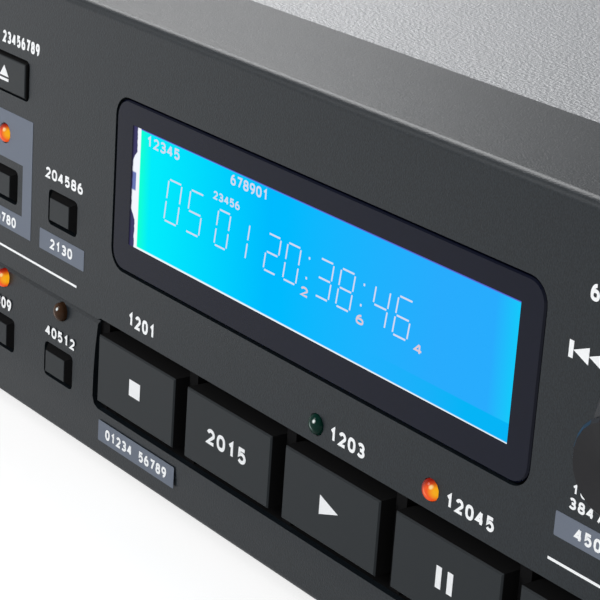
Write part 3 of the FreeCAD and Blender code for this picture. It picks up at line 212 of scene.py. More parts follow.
@dataclass(frozen=True)
class Finish:
    """A painted, moulded, printed or metal surface whose fine grain varies its colour and roughness.

    The grain is the width of a speck or hump in millimetres, the mottle is how far it changes the colour,
    as a share, and the depth is the height of its humps in millimetres. Inside the stretch that marks a
    gap, such as the walls of a gap, the surface is painted near black as painted shade, and is duller.
    """

    name: str
    colour: str
    roughness: float
    metallic: float = 0.0
    ior: float = 1.5
    specular: float = 0.5
    grain: float = 0.3
    mottle: float = 0.06
    depth: float = 0.0
    detail: float = 2.0
    coat: float = 0.0
    glow: float = 0.0
    gap_colour: str = "#030304"
    roughness_spread: float = 0.03
    dull_roughness: float = 0.46
    coat_roughness: float = 0.06

    def build(self) -> bpy.types.Material:
        """Makes the material at its first use.

        Returns:
            The one material of this name.
        """
        made = bpy.data.materials.get(self.name)
        if made:
            return made
        shader = Surface(self.name)
        grain = {"Vector": shader.place, "Scale": 1 / self.grain, "Detail": self.detail}
        noise = shader.add("TexNoise", grain)
        mixed = {0: noise, 6: linear(self.colour, 1 - self.mottle), 7: linear(self.colour, 1 + self.mottle)}
        colour = shader.add("Mix", mixed, output=2, data_type="RGBA")
        smooth, rough = self.roughness - self.roughness_spread, self.roughness + self.roughness_spread
        spread = {0: noise, 1: NOISE_LOW, 2: NOISE_HIGH, 3: smooth, 4: rough}
        roughness = shader.add("MapRange", spread)
        dull = self.dull(shader)
        if dull:
            roughness = shader.add("Mix", {0: dull, 2: roughness, 3: self.dull_roughness})
        # Painted shade: what lies in a gap is painted near black and made fully rough.
        hidden = self.hidden(shader)
        if hidden:
            colour = shader.layered(colour, (hidden, self.gap_colour))
            roughness = shader.add("Mix", {0: hidden, 2: roughness, 3: 1.0})
        inputs: Inputs = {
            "Base Color": colour,
            "Roughness": roughness,
            "Metallic": self.metallic,
            "IOR": self.ior,
            "Specular IOR Level": self.specular,
            "Coat Weight": self.coat,
            "Coat Roughness": self.coat_roughness,
        }
        if self.depth:
            relief = {"Strength": 1.0, "Distance": self.depth * MM, "Height": noise}
            inputs["Normal"] = shader.add("Bump", relief)
        # The glow is painted light: an emission that makes the surface brighter than its lighting.
        if self.glow:
            inputs["Emission Color"] = linear(self.colour)
            inputs["Emission Strength"] = self.glow
        return shader.finish(inputs)

    def hidden(self, shader: Surface) -> Socket | None:
        """Marks what is painted near black as painted shade in a gap, of which a plain finish has nothing.
        """
        return None

    def dull(self, shader: Surface) -> Socket | None:
        """Marks what is rougher than the rest, of which a plain finish has nothing."""
        return None


@dataclass(frozen=True)
class Backlit:
    """Ink or film that is seen only by the light that comes through it."""

    name: str
    colour: str

    def build(self) -> bpy.types.Material:
        """Makes the material."""
        return Surface(self.name).finish(lit_from_behind(linear(self.colour)))


@dataclass(frozen=True)
class PanelFinish(Finish):
    """Panel paint whose walls deep in the openings are painted near black as painted shade."""

    reach: float = 0.66
    outside: float = 20.9
    round_edge: float = 0.8
    face_half: float = 21.3
    fade: float = 0.1

    def hidden(self, shader: Surface) -> Socket:
        """Marks the walls deep in the panel's openings, which are painted near black as painted shade.

        Args:
            shader: the nodes that it joins.

        Returns:
            1 deeper than the reach depth and between the panel's top and bottom bands.
        """
        reach = FACE + self.reach
        behind = shader.add("MapRange", {0: shader.y, 1: reach, 2: reach + self.fade})
        between = shader.within(shader.z, -self.outside, self.outside, self.fade / 2)
        return shader.add("Math", {0: behind, 1: between}, operation="MULTIPLY")

    def dull(self, shader: Surface) -> Socket:
        """Marks the panel's round top and bottom edges, where sprayed paint dries before it flows.

        Args:
            shader: the nodes that it joins.

        Returns:
            1 on the round edges and 0 on the flat face.
        """
        edge = FACE + self.round_edge
        ahead = shader.add("MapRange", {0: shader.y, 1: edge + self.fade, 2: edge})
        face = shader.within(shader.z, -self.face_half, self.face_half, self.fade)
        beyond = shader.add("Math", {0: 1.0, 1: face}, operation="SUBTRACT")
        return shader.add("Math", {0: ahead, 1: beyond}, operation="MULTIPLY")


@dataclass(frozen=True)
class KeyFinish(Finish):
    """Moulded plastic whose face catches the light and whose sides, in a gap, are painted near black as
    painted shade.

    The face is how far the key stands out of the panel, and the edge is the height of its chamfer.
    """

    colour: str = "#171d21"
    roughness: float = 0.4
    specular: float = 0.18
    grain: float = 0.1
    mottle: float = 0.05
    depth: float = 0.001
    face: float = 0.6
    edge: float = 0.14
    fade_ahead: float = 0.02
    fade_behind: float = 0.03

    def hidden(self, shader: Surface) -> Socket:
        """Marks what lies behind the edge round the key's face, which is painted near black as painted
        shade.
        """
        side = FACE - self.face + self.edge
        return shader.add("MapRange", {0: shader.y, 1: side - self.fade_ahead, 2: side + self.fade_behind})


class Paint(Enum):
    """The finishes of the CAD nodes and of the printing.

    Each comment names the real surface and what it gives the eye. A grain that is too fine to show is
    drawn coarser, and its comment gives the real width.
    """

    # Paint sprayed on moulded ABS: a dull blue-grey black that sparkles a little. Its pigment specks are
    # 0.05 mm wide and are drawn at 0.16 mm.
    PANEL = PanelFinish("matte_sprayed_abs_panel", "#1a2025", 0.3, specular=0.19, grain=0.16, mottle=0.8,
                        depth=0.02)
    # Powder paint on folded steel: a leather-like skin whose 0.3 mm humps catch the light from behind.
    COVER = Finish("leather_grain_powder_paint", "#76787c", 0.4, grain=0.3, mottle=0.1, depth=0.11,
                   detail=3.0)
    # ABS moulded in an etched tool: dull and even. The pits are 0.05 mm wide and are drawn at 0.1 mm.
    ROW_KEY = KeyFinish("etched_moulded_abs_key", face=0.6, edge=0.13)
    SMALL_KEY = KeyFinish("etched_moulded_abs_small_key", face=0.42, edge=0.04)
    EJECT_KEY = KeyFinish("etched_moulded_abs_eject_key", face=0.3, edge=0.08)
    POWER_KEY = KeyFinish("etched_moulded_abs_power_key", face=0.2, edge=0.0)
    # ABS from a smoother tool than the keys': a round edge that shows a soft light. Its pits are drawn
    # as coarse as theirs.
    DIAL = Finish("satin_moulded_abs_dial", "#111115", 0.36, specular=0.2, grain=0.1, mottle=0.05)
    # Smoked acrylic: near black with a blue cast, and smooth enough to mirror softly. The smoke changes
    # over about 2 mm.
    WINDOW = Finish("polished_smoked_acrylic", "#0c1021", 0.16, ior=1.49, specular=0.1, grain=2.0,
                    mottle=0.1)
    # Polystyrene from a plain tool: half dull, with flow marks 0.2 mm wide.
    BLACK = Finish("black_moulded_polystyrene", "#161718", 0.5, grain=0.2, mottle=0.1)
    # ABS moulded in an etched tool: charcoal and dull. The pits are 0.08 mm wide and are drawn at 0.2 mm.
    TRAY = Finish("charcoal_etched_moulded_abs", "#212326", 0.48, grain=0.2, mottle=0.1, depth=0.002)
    # Undyed acetal: milky, with a waxy shine and half-millimetre clouds.
    NATURAL = Finish("natural_moulded_acetal", "#e2ded2", 0.38, grain=0.5, mottle=0.03)
    # Filled polycarbonate: pale and slightly cloudy.
    PALE = Finish("pale_moulded_polycarbonate", "#cfcfcb", 0.42, grain=0.5, mottle=0.03)
    # Rolled sheet with a zinc coat: cloudy patches 3 mm wide on a soft metal shine.
    ZINC = Finish("zinc_plated_rolled_steel", "#a9acb0", 0.34, metallic=1.0, grain=3.0, mottle=0.12)
    # Steel drawn through a die: bright, with faint 1 mm patches of oil.
    STEEL = Finish("drawn_bright_steel", "#b9bcc0", 0.22, metallic=1.0, grain=1.0, mottle=0.05)
    # Steel with black zinc plating: dark, with a greasy metal shine.
    SCREW = Finish("black_zinc_plated_screw_steel", "#3a3b3e", 0.34, metallic=0.8, grain=0.6, mottle=0.1)
    # Aluminium cast in a steel mould: grey and softly dull, with 0.6 mm flow marks.
    CAST = Finish("die_cast_aluminium", "#8f9398", 0.42, metallic=1.0, grain=0.6, mottle=0.1)
    # Aluminium pressed through a die: pale, with a satin shine.
    EXTRUDED = Finish("extruded_aluminium", "#b4b8bb", 0.35, metallic=1.0, grain=1.5, mottle=0.06)
    # Stacked steel plates, 0.5 mm thick, under varnish: grey and half dull, changing from plate to plate.
    CORE = Finish("varnished_laminated_steel", "#5f6265", 0.45, metallic=0.8, grain=0.6, mottle=0.2)
    # PVC shrunk on by heat: dark blue with an even gloss.
    SLEEVE = Finish("shrunk_pvc_sleeve", "#2f3a5e", 0.35, grain=1.0, mottle=0.05)
    # Solder mask over woven glass and copper: deep green under a glassy coat, mottled by 2 mm tracks.
    BOARD = Finish("solder_mask_on_glass_epoxy", "#17462c", 0.3, grain=2.0, mottle=0.2, coat=0.3)
    # PVC pressed around flat wires 1 mm apart: light grey and half dull.
    RIBBON = Finish("extruded_pvc_ribbon", "#c4c7cb", 0.45, grain=1.0, mottle=0.04)
    # Moulded rubber: black, without shine. Its dusty skin has 0.1 mm specks, which are drawn at 0.4 mm.
    RUBBER = Finish("moulded_black_rubber", "#141414", 0.8, grain=0.4, mottle=0.2, depth=0.01)
    # Brass with a gold coat: yellow and nearly a mirror.
    GOLD = Finish("gold_plated_brass", "#d8ad4a", 0.2, metallic=1.0, grain=0.6, mottle=0.05)
    # Nylon dyed and moulded: clean colours with a low shine.
    WHITE_RING = Finish("white_moulded_nylon", "#dcdcd8", 0.4, grain=0.5, mottle=0.03)
    RED_RING = Finish("red_moulded_nylon", "#a11a1c", 0.4, grain=0.5, mottle=0.03)
    ORANGE_RING = Finish("orange_moulded_nylon", "#c8641c", 0.4, grain=0.5, mottle=0.03)
    # Smoked acrylic with a red dye, which lets only the remote's light through: a wine-black gloss.
    SENSOR = Finish("polished_red_smoked_acrylic", "#14070a", 0.15, specular=0.3, grain=1.0, mottle=0.05)
    # Screen ink: flat, opaque and slightly chalky. The mesh leaves 0.05 mm marks, drawn at 0.15 mm. The
    # white has a faint painted glow: an emission that lifts it above what the lamps give it.
    WHITE_INK = Finish("white_screen_ink", "#f4f6f8", 0.6, specular=0.3, grain=0.15, mottle=0.02, glow=0.08)
    TAG_INK = Finish("blue_grey_screen_ink", "#69717f", 0.6, specular=0.3, grain=0.15, mottle=0.06)
    # Pad ink, which is thinner and a little shinier than screen ink. It has a fainter painted glow.
    KEY_INK = Finish("white_pad_ink", "#f0f2f4", 0.55, specular=0.3, grain=0.15, mottle=0.03, glow=0.05)
    # Clear segments of the cell: the backlight comes through undyed, or dyed pink.
    CELL_INK = Backlit("undyed_backlit_segments", "#d4dbf0")
    CELL_MARK_INK = Backlit("pink_dyed_backlit_segments", "#dccad6")


NODE_PAINTS: dict[Paint, tuple[str, ...]] = {
    Paint.PANEL: ("front_panel", "tray_door"),
    Paint.COVER: ("top_cover", "back_plate"),
    Paint.ROW_KEY: ("stop_key", "call_key", "play_key", "pause_key", "search_back_key", "search_ahead_key"),
    Paint.SMALL_KEY: ("shift_key", "display_key", "cue_key", "flash_key", "repeat_key", "random_key",
                      "program_key"),
    Paint.EJECT_KEY: ("eject_key",),
    Paint.POWER_KEY: ("power_button",),
    Paint.DIAL: ("jog_dial", "level_knob"),
    Paint.WINDOW: ("display_window", "display_cell"),
    Paint.BLACK: ("display_frame", "key_switches", "dial_encoder", "encoder_plunger", "power_switch",
                  "phones_jack", "loader_frame", "turntable", "mains_inlet"),
    Paint.TRAY: ("disc_tray",),
    Paint.NATURAL: ("tray_pinion", "motor_gear"),
    Paint.PALE: ("clamp_puck",),
    Paint.ZINC: ("level_control", "case_pan", "disc_deck", "clamp_bridge", "serial_port"),
    Paint.STEEL: ("loading_motor", "guide_rods", "spindle_motor", "sled_motor", "sled_screw"),
    Paint.CAST: ("laser_pickup",),
    Paint.EXTRUDED: ("heat_sink",),
    Paint.CORE: ("transformer",),
    Paint.SLEEVE: ("capacitors",),
    Paint.BOARD: ("front_board", "main_board", "power_board"),
    Paint.RIBBON: ("front_ribbon",),
    Paint.RUBBER: ("feet",),
    Paint.GOLD: ("line_jacks",),
    Paint.SENSOR: ("sensor_window",),
}


@dataclass
class Solid:
    """Vertices in millimetres (along, depth, up) and faces of a piece that is being collected."""

    points: list[np.ndarray] = field(default_factory=list)
    faces: list[tuple[int, ...]] = field(default_factory=list)
    count: int = 0

    def add(self, points: np.ndarray, faces: Iterable[Sequence[int]]) -> None:
        """Adds vertices and the faces that join them.

        Args:
            points: an array of (along, depth, up) rows.
            faces: corner numbers of each face, counted from the first new row.
        """
        self.points.append(points)
        self.faces.extend(tuple(int(corner) + self.count for corner in face) for face in faces)
        self.count += len(points)

    def slab(self, outline: np.ndarray, near: float, far: float) -> None:
        """Adds a flat plate.

        Args:
            outline: its outline as (along, up) rows, anticlockwise as seen from the front.
            near: depth of its front face.
            far: depth of its back face.
        """
        number = len(outline)
        front = np.column_stack((outline[:, 0], np.full(number, near), outline[:, 1]))
        back = front.copy()
        back[:, 1] = far
        at = np.arange(number)
        after = np.roll(at, -1)
        around = np.column_stack((at, at + number, after + number, after))
        self.add(np.vstack((front, back)), [at, at[::-1] + number, *around])

    def tube(self, sections: np.ndarray, closed: bool) -> None:
        """Joins equal sections, carried along a path, into one closed skin.

        Args:
            sections: an array of path steps by section corners by 3.
            closed: whether the last section joins the first, and otherwise both ends get a cap.
        """
        steps, corners = sections.shape[:2]
        grid = np.arange(steps * corners).reshape(steps, corners)
        first = grid if closed else grid[:-1]
        second = np.roll(grid, -1, axis=0) if closed else grid[1:]
        quads = np.stack((first, second, np.roll(second, -1, axis=1), np.roll(first, -1, axis=1)), axis=-1)
        faces: list[Sequence[int]] = list(quads.reshape(-1, 4))
        if not closed:
            faces += [grid[0], grid[-1][::-1]]
        self.add(sections.reshape(-1, 3), faces)

    def lathe(self, profile: Sequence[Point], x: float, z: float, steps: int = 48) -> None:
        """Adds a body of revolution about an axis that runs from front to back.

        The point at angle a of the profile's corner (r, d) is (x + r cos a, d, z + r sin a).

        Args:
            profile: (radius, depth) corners. Where the first radius is 0, so is the last one, and the
                body is solid. Otherwise it is a ring, and its last corner joins its first one.
            x: the axis along the panel.
            z: the axis up the panel.
            steps: points around.
        """
        solid = profile[0][0] == 0
        rings = np.array(profile[1:-1] if solid else profile)
        angles = np.linspace(0, 2 * math.pi, steps, endpoint=False)[:, None]
        depth = np.broadcast_to(rings[:, 1], (steps, len(rings)))
        along, up = x + rings[:, 0] * np.cos(angles), z + rings[:, 0] * np.sin(angles)
        section = np.stack((along, depth, up), axis=-1)
        if not solid:
            self.tube(section, True)
            return
        self.tube(section.transpose(1, 0, 2), False)
        outer, self.faces[-2:] = self.faces[-2:], []
        for level, rim in zip((profile[0][1], profile[-1][1]), outer):
            self.add(np.array([(x, level, z)]), [])
            after = rim[1:] + rim[:1]
            self.faces.extend((self.count - 1, corner, following) for corner, following in zip(rim, after))

    def build(self, name: str, paint: Paint | bpy.types.Material, body: str = ROOT,
              smooth: bool = False, offsets: np.ndarray | None = None) -> bpy.types.Object:
        """Makes the object and lets it ride on a body.

        Args:
            name: the object's name.
            paint: its finish or its material.
            body: the CAD body that carries it.
            smooth: whether its shading is smooth.
            offsets: a vector for each vertex, kept as the attribute "offset".

        Returns:
            The new object.
        """
        points = np.vstack(self.points)
        points[:, 1] += FACE
        mesh = bpy.data.meshes.new(name)
        mesh.from_pydata((points * MM).tolist(), [], self.faces)
        if offsets is not None:
            layer = mesh.attributes.new("offset", "FLOAT_VECTOR", "POINT")
            layer.data.foreach_set("vector", offsets.ravel())
        sides = bmesh.new()
        sides.from_mesh(mesh)
        bmesh.ops.recalc_face_normals(sides, faces=sides.faces)
        sides.to_mesh(mesh)
        sides.free()
        mesh.materials.append(paint.value.build() if isinstance(paint, Paint) else paint)
        mesh.polygons.foreach_set("use_smooth", np.full(len(mesh.polygons), smooth))
        piece = bpy.data.objects.new(name, mesh)
        bpy.context.scene.collection.objects.link(piece)
        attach(piece, body)
        log.info("%s rides on %s with %d faces", name, body, len(mesh.polygons))
        return piece


def arc(x: float, z: float, wide: float, tall: float, start: float, end: float,
        steps: int = 14) -> np.ndarray:
    """Part of an ellipse: the point at angle a, in degrees, is (x + wide cos a, z + tall sin a)."""
    angles = np.radians(np.linspace(start, end, steps))
    return np.column_stack((x + wide * np.cos(angles), z + tall * np.sin(angles)))


@dataclass(frozen=True)
class Box:
    """A rectangle on the panel."""

    left: float
    right: float
    low: float
    high: float

    @classmethod
    def around(cls, x: float, z: float, width: float, height: float) -> "Box":
        """A rectangle about a middle."""
        return cls(x - width / 2, x + width / 2, z - height / 2, z + height / 2)

    def outline(self, corner: float = 0.0, steps: int = 5) -> np.ndarray:
        """The rectangle's outline, with round corners where it has them.

        Args:
            corner: radius of the corners.
            steps: points in each round corner.

        Returns:
            Its (along, up) rows, anticlockwise.
        """
        left, right, low, high = self.left, self.right, self.low, self.high
        if corner <= 0:
            return np.array(((left, low), (right, low), (right, high), (left, high)))
        middles = ((right - corner, low + corner, -90), (right - corner, high - corner, 0),
                   (left + corner, high - corner, 90), (left + corner, low + corner, 180))
        return np.vstack([arc(x, z, corner, corner, start, start + 90, steps) for x, z, start in middles])


class Sign(Enum):
    """Plain symbols that stand in place of words."""

    STOP = "stop"
    PLAY = "play"
    PAUSE = "pause"
    BACK = "back"
    AHEAD = "ahead"
    EJECT = "eject"
    POWER = "power"
    PHONES = "phones"


def stroke_paths(figure: str) -> list[tuple[bool, np.ndarray]]:
    """The middle lines of one plain figure.

    The round ones start from a rounded box: the point at angle a is cos a and sin a, each with its sign
    kept and its size raised to a power below 1.

    Args:
        figure: 0 to 9.

    Returns:
        For each stroke, whether it is closed and its points, in a square from -1 to 1.
    """
    ring = np.radians(np.linspace(0, 360, 26, endpoint=False))
    round_box = np.column_stack((np.sign(np.cos(ring)) * np.abs(np.cos(ring)) ** 0.75,
                                 np.sign(np.sin(ring)) * np.abs(np.sin(ring)) ** 0.85))
    six = [(True, round_box * (0.95, 0.6) + (0.0, -0.4)), (False, arc(0.35, -0.4, 1.3, 1.4, 180, 88))]
    paths: dict[str, list[tuple[bool, Any]]] = {
        "0": [(True, round_box)],
        "1": [(False, ((-0.6, 0.5), (0.2, 1.0), (0.2, -1.0)))],
        "2": [(False, np.vstack((arc(0, 0.42, 0.92, 0.58, 165, -25), ((-0.95, -1.0), (0.98, -1.0)))))],
        "3": [(False, arc(-0.1, 0.5, 0.9, 0.5, 150, -100)),
              (False, arc(-0.1, -0.48, 1.05, 0.52, 105, -150))],
        "4": [(False, ((0.35, 1.0), (-0.95, -0.42), (1.0, -0.42))), (False, ((0.45, 1.0), (0.45, -1.0)))],
        "5": [(False, np.vstack(((0.85, 1.0), (-0.68, 1.0), arc(-0.02, -0.35, 0.98, 0.65, 138, -145))))],
        "6": six,
        "7": [(False, ((-0.95, 1.0), (0.95, 1.0), (-0.25, -1.0)))],
        "8": [(True, round_box * (0.82, 0.48) + (0.0, 0.52)),
              (True, round_box * (0.96, 0.52) + (0.0, -0.48))],
        "9": [(closed, -points) for closed, points in six],
    }
    return [(closed, np.array(points, dtype=float)) for closed, points in paths[figure]]


class Print(Solid):
    """Ink that stands a hair proud of a flat face."""

    thickness: float = 0.025
    # The least cosine of half a turn that a line's corner is widened by.
    sharpest: float = 0.45
    # The gap between two figures, as a share of a figure's width.
    gap: float = 0.24

    def __init__(self, face: float = 0.0, behind: bool = False) -> None:
        """Starts a print.

        Args:
            face: depth of the face that carries the ink.
            behind: whether it is read from behind, where its lengths along run the other way.
        """
        super().__init__()
        self.face = face
        self.way = -1 if behind else 1

    def add(self, points: np.ndarray, faces: Iterable[Sequence[int]]) -> None:
        """Adds vertices, turned to the side that the ink is read from, and their faces."""
        super().add(points * (self.way, 1, 1), faces)

    def area(self, outline: np.ndarray) -> None:
        """Prints one filled outline."""
        self.slab(outline, self.face - self.way * self.thickness, self.face)

    def block(self, box: Box, corner: float = 0.0) -> None:
        """Prints one rectangle."""
        self.area(box.outline(corner))

    def line(self, points: np.ndarray, width: float, closed: bool = False, layer: int = 0) -> None:
        """Prints a line of even width along a path.

        Each section is a rectangle that stands across the path. At a corner it is as much wider as one over
        the cosine of half the turn.

        Args:
            points: the path, as (along, up) rows.
            width: the line's width.
            closed: whether the path's end joins its start.
            layer: how many lines it lies over, each of which lifts it by a tenth of the ink's thickness.
        """
        if closed:
            before, after = points - np.roll(points, 1, axis=0), np.roll(points, -1, axis=0) - points
        else:
            runs = np.diff(points, axis=0)
            before, after = np.vstack((runs[:1], runs)), np.vstack((runs, runs[-1:]))
        before = before / np.linalg.norm(before, axis=1, keepdims=True)
        after = after / np.linalg.norm(after, axis=1, keepdims=True)
        along = before + after
        along /= np.linalg.norm(along, axis=1, keepdims=True)
        reach = width / 2 / np.maximum(np.sum(along * after, axis=1), self.sharpest)[:, None]
        across = np.column_stack((-along[:, 1], along[:, 0])) * reach
        left, right = points + across, points - across
        low, high = self.face, self.face - self.way * self.thickness * (1 + layer / 10)
        sides = ((left, high), (right, high), (right, low), (left, low))
        corners = [np.insert(side, 1, level, axis=1) for side, level in sides]
        self.tube(np.stack(corners, axis=1), closed)

    def figures(self, text: str, box: Box, weight: float = 0.22) -> None:
        """Prints plain figures that fill a rectangle.

        Args:
            text: the figures, and blanks.
            box: the rectangle that they fill.
            weight: width of a stroke as a share of the height.
        """
        height = box.high - box.low
        width = weight * height
        cell = (box.right - box.left) / (len(text) + self.gap * (len(text) - 1))
        scale = np.array(((cell - width) / 2, (height - width) / 2))
        for number, figure in enumerate(text):
            if figure == " ":
                continue
            along = box.left + cell / 2 + number * cell * (1 + self.gap)
            middle = np.array((along, (box.low + box.high) / 2))
            for layer, (closed, path) in enumerate(stroke_paths(figure)):
                self.line(middle + path * scale, width, closed, layer)

    def triangle(self, tip: Point, base: float, half: float) -> None:
        """Prints a triangle that points along the panel from a base to a tip."""
        corners = np.array(((base, tip[1] - half), tip, (base, tip[1] + half)))
        self.area(corners if tip[0] > base else corners[::-1])

    def sign(self, sign: Sign, x: float, z: float, size: float = 1.0) -> None:
        """Prints a symbol.

        Args:
            sign: which one.
            x: its middle along the panel.
            z: its middle up the panel.
            size: scale against its usual size.
        """
        if sign is Sign.STOP:
            self.block(Box.around(x, z, 1.8 * size, 1.6 * size))
        elif sign is Sign.PLAY:
            self.triangle((x + 1.25 * size, z), x - 1.25 * size, 0.88 * size)
        elif sign is Sign.PAUSE:
            for side in (-1, 1):
                self.block(Box.around(x + side * 0.68 * size, z, 0.65 * size, 1.9 * size))
        elif sign in (Sign.BACK, Sign.AHEAD):
            way = -1 if sign is Sign.BACK else 1
            for step in (-1.0, 0.6):
                base = x + way * step * size
                self.triangle((base + way * 1.6 * size, z), base, 0.66 * size)
            bar = x + way * 2.42 * size
            self.block(Box.around(bar, z, 0.45 * size, 1.32 * size))
        elif sign is Sign.EJECT:
            half, foot = 0.86 * size, z - 0.2 * size
            self.area(np.array(((x - half, foot), (x + half, foot), (x, z + 0.88 * size))))
            self.block(Box(x - half, x + half, z - 0.68 * size, z - 0.4 * size))
        elif sign is Sign.POWER:
            self.line(arc(x, z, 0.8 * size, 0.8 * size, 125, 415, 24), 0.24 * size)
            self.block(Box.around(x, z + 0.65 * size, 0.24 * size, 0.95 * size))
        elif sign is Sign.PHONES:
            self.line(arc(x, z, 0.95 * size, 0.95 * size, 0, 180, 24), 0.22 * size)
            for side in (-1, 1):
                cushion = Box.around(x + side * 0.85 * size, z - 0.35 * size, 0.5 * size, 0.9 * size)
                self.block(cushion, 0.15 * size)


@dataclass
class PanelPrint:
    """Everything printed on the panel and on its keys.

    A name that ends in x is a place along the panel, and one that ends in z is a place up it. Both are
    counted from the panel's middle. A face is how far a key stands out of the panel.
    """

    line_z: float = -5.8
    line_width: float = 0.22
    line_spans: tuple[Point, Point] = ((3.0, 36.02), (102.35, 206.0))
    search_sign_z: float = 10.65
    cap: float = 1.2
    tag_corner: float = 0.12
    power_x: float = -198.0
    power_z: float = 12.2
    phones_x: float = -178.0
    phones_z: float = 14.0
    level_x: float = -155.0
    level_z: float = 5.0
    scale_start: float = 240.0
    scale_step: float = 30.0
    dot_circle: float = 8.4
    dot: float = 0.5
    dot_corner: float = 0.24
    figure_circle: float = 11.0
    knob_height: float = 12.0
    pointer_width: float = 0.7
    groove_depth: float = 0.4
    groove_start: float = 2.7
    groove_end: float = 5.5
    far_key_x: float = 150.0
    far_key_pitch: float = 15.0
    far_figure_z: float = 4.3
    far_tag_z: float = -2.85
    row_x: float = 47.64
    row_pitch: float = 14.81
    row_z: float = -12.15
    row_face: float = 0.6
    eject_x: float = 22.0
    eject_z: float = 11.9
    eject_face: float = 0.3

    def build(self) -> None:
        """Prints the panel, then the keys."""
        white, tags, tag_text = Print(), Print(), Print(-Print.thickness)
        self.lines(white)
        self.labels(white)
        self.tags(tags, tag_text)
        self.left_end(white)
        self.right_end(white, tags, tag_text)
        white.build("panel_white_print", Paint.WHITE_INK)
        tags.build("panel_grey_print", Paint.TAG_INK)
        tag_text.build("panel_tag_figures", Paint.WHITE_INK)
        self.keys()

    def lines(self, white: Print) -> None:
        """Prints the thin lines at both sides of the display.

        Args:
            white: the print that takes them.
        """
        low, high = self.line_z - self.line_width / 2, self.line_z + self.line_width / 2
        for left, right in self.line_spans:
            white.block(Box(left, right, low, high))

    def labels(self, white: Print) -> None:
        """Prints the figures beside the middle keys and lamps, each where its key or lamp needs it.

        Args:
            white: the print that takes them.
        """
        figures = {
            "01 23456789": Box(18.4, 28.1, 14.9, 16.1),
            "204586": Box(29.8, 36.6, 3.5, 4.6),
            "309": Box(20.8, 23.8, -12.4, -11.2),
            "40512": Box(30.6, 36.05, -12.4, -11.3),
            "1201": Box(45.2, 49.7, -6.6, -5.25),
            "1203": Box(75.9, 80.6, -6.5, -5.2),
            "12045": Box(90.7, 96.4, -6.45, -5.2),
            "60718": Box(103.65, 109.3, 14.8, 16.1),
            "1029": Box(104.0, 107.5, 0.04, 0.83),
            "38471": Box(103.9, 108.3, -1.18, -0.27),
        }
        for text, box in figures.items():
            white.figures(text, box)
        white.sign(Sign.BACK, 104.8, self.search_sign_z)
        white.sign(Sign.AHEAD, 120.7, self.search_sign_z)

    def tags(self, tags: Print, text: Print) -> None:
        """Prints the grey plates around and below some keys, with their small figures.

        Args:
            tags: the print that takes the plates.
            text: the print that takes the figures.
        """
        tags.block(Box(29.0, 37.2, -3.9, -1.84), self.tag_corner)
        text.figures("2130", Box(31.0, 35.1, -3.4, -2.35))
        tags.block(Box(40.8, 53.8, -19.8, -17.7), self.tag_corner)
        text.figures("01234 56789", Box(42.1, 52.6, -19.3, -18.25))
        tags.block(Box(102.68, 112.4, -3.81, -1.84), self.tag_corner)
        text.figures("45061", Box(104.8, 109.6, -3.35, -2.3))
        outer, inner = Box(16.55, 27.25, -3.8, 8.2), Box(18.3, 25.5, -1.8, 3.4)
        lamp_x, lamp_z, lamp_radius = 21.9, 5.85, 1.05
        tags.block(Box(outer.left, inner.left, outer.low, outer.high))
        tags.block(Box(inner.right, outer.right, outer.low, outer.high))
        tags.block(Box(inner.left, inner.right, outer.low, inner.low))
        around_lamp = Box(inner.left, inner.right, inner.high, outer.high)
        self.plate_with_hole(tags, around_lamp, lamp_x, lamp_z, lamp_radius)
        text.figures("56780", Box(19.5, 24.4, -3.4, -2.35))

    @staticmethod
    def plate_with_hole(tags: Print, box: Box, x: float, z: float, radius: float, steps: int = 32) -> None:
        """Prints a rectangle around a round hole, in wedges that run out to its sides.

        Args:
            tags: the print that takes it.
            box: the rectangle.
            x: the hole's middle along the panel.
            z: the hole's middle up the panel.
            radius: the hole's radius.
            steps: wedges, apart from those that end at the rectangle's corners.
        """
        middle = np.array((x, z))
        angles = np.radians(np.linspace(0, 360, steps, endpoint=False) + 360 / steps / 2)
        corners = [math.atan2(b - z, a - x) for a in (box.left, box.right) for b in (box.low, box.high)]
        angles = np.unique(np.concatenate((angles, corners)) % (2 * math.pi))
        rays = np.column_stack((np.cos(angles), np.sin(angles)))
        reach_x = np.where(rays[:, 0] > 0, box.right - x, box.left - x) / rays[:, 0]
        reach_z = np.where(rays[:, 1] > 0, box.high - z, box.low - z) / rays[:, 1]
        outer = middle + rays * np.minimum(reach_x, reach_z)[:, None]
        inner = middle + rays * radius
        next_outer, next_inner = np.roll(outer, -1, axis=0), np.roll(inner, -1, axis=0)
        for wedge in np.stack((inner, outer, next_outer, next_inner), axis=1):
            tags.area(wedge)

    def left_end(self, white: Print) -> None:
        """Prints the symbols at the left end and the level knob's scale of eleven dots.

        Args:
            white: the print that takes them.
        """
        white.sign(Sign.POWER, self.power_x, self.power_z, 1.1)
        white.sign(Sign.PHONES, self.phones_x, self.phones_z, 1.2)
        for step in range(11):
            x, z = self.on_scale(step, self.dot_circle)
            white.area(Box.around(x, z, self.dot, self.dot).outline(self.dot_corner, 4))
        for step in (0, 5, 10):
            x, z = self.on_scale(step, self.figure_circle)
            white.figures(str(step), Box.around(x, z, 0.85 * len(str(step)), self.cap))

    def on_scale(self, step: int, radius: float) -> np.ndarray:
        """A place on the level knob's scale: on a circle about its axis, at the angle of the step."""
        angle = self.scale_start - self.scale_step * step
        return arc(self.level_x, self.level_z, radius, radius, angle, angle, 1)[0]

    def right_end(self, white: Print, tags: Print, text: Print) -> None:
        """Prints figures and tags around the three keys at the right end.

        Args:
            white: the print that takes the large figures.
            tags: the print that takes the plates.
            text: the print that takes the figures on them.
        """
        for number in range(3):
            x = self.far_key_x + self.far_key_pitch * number
            white.figures(str(7 + number), Box.around(x, self.far_figure_z, 0.9, self.cap))
            tags.block(Box.around(x, self.far_tag_z, 8.2, 2.0), self.tag_corner)
            text.figures(f"{number + 1}0{number + 4}", Box.around(x, self.far_tag_z, 2.8, 1.05))

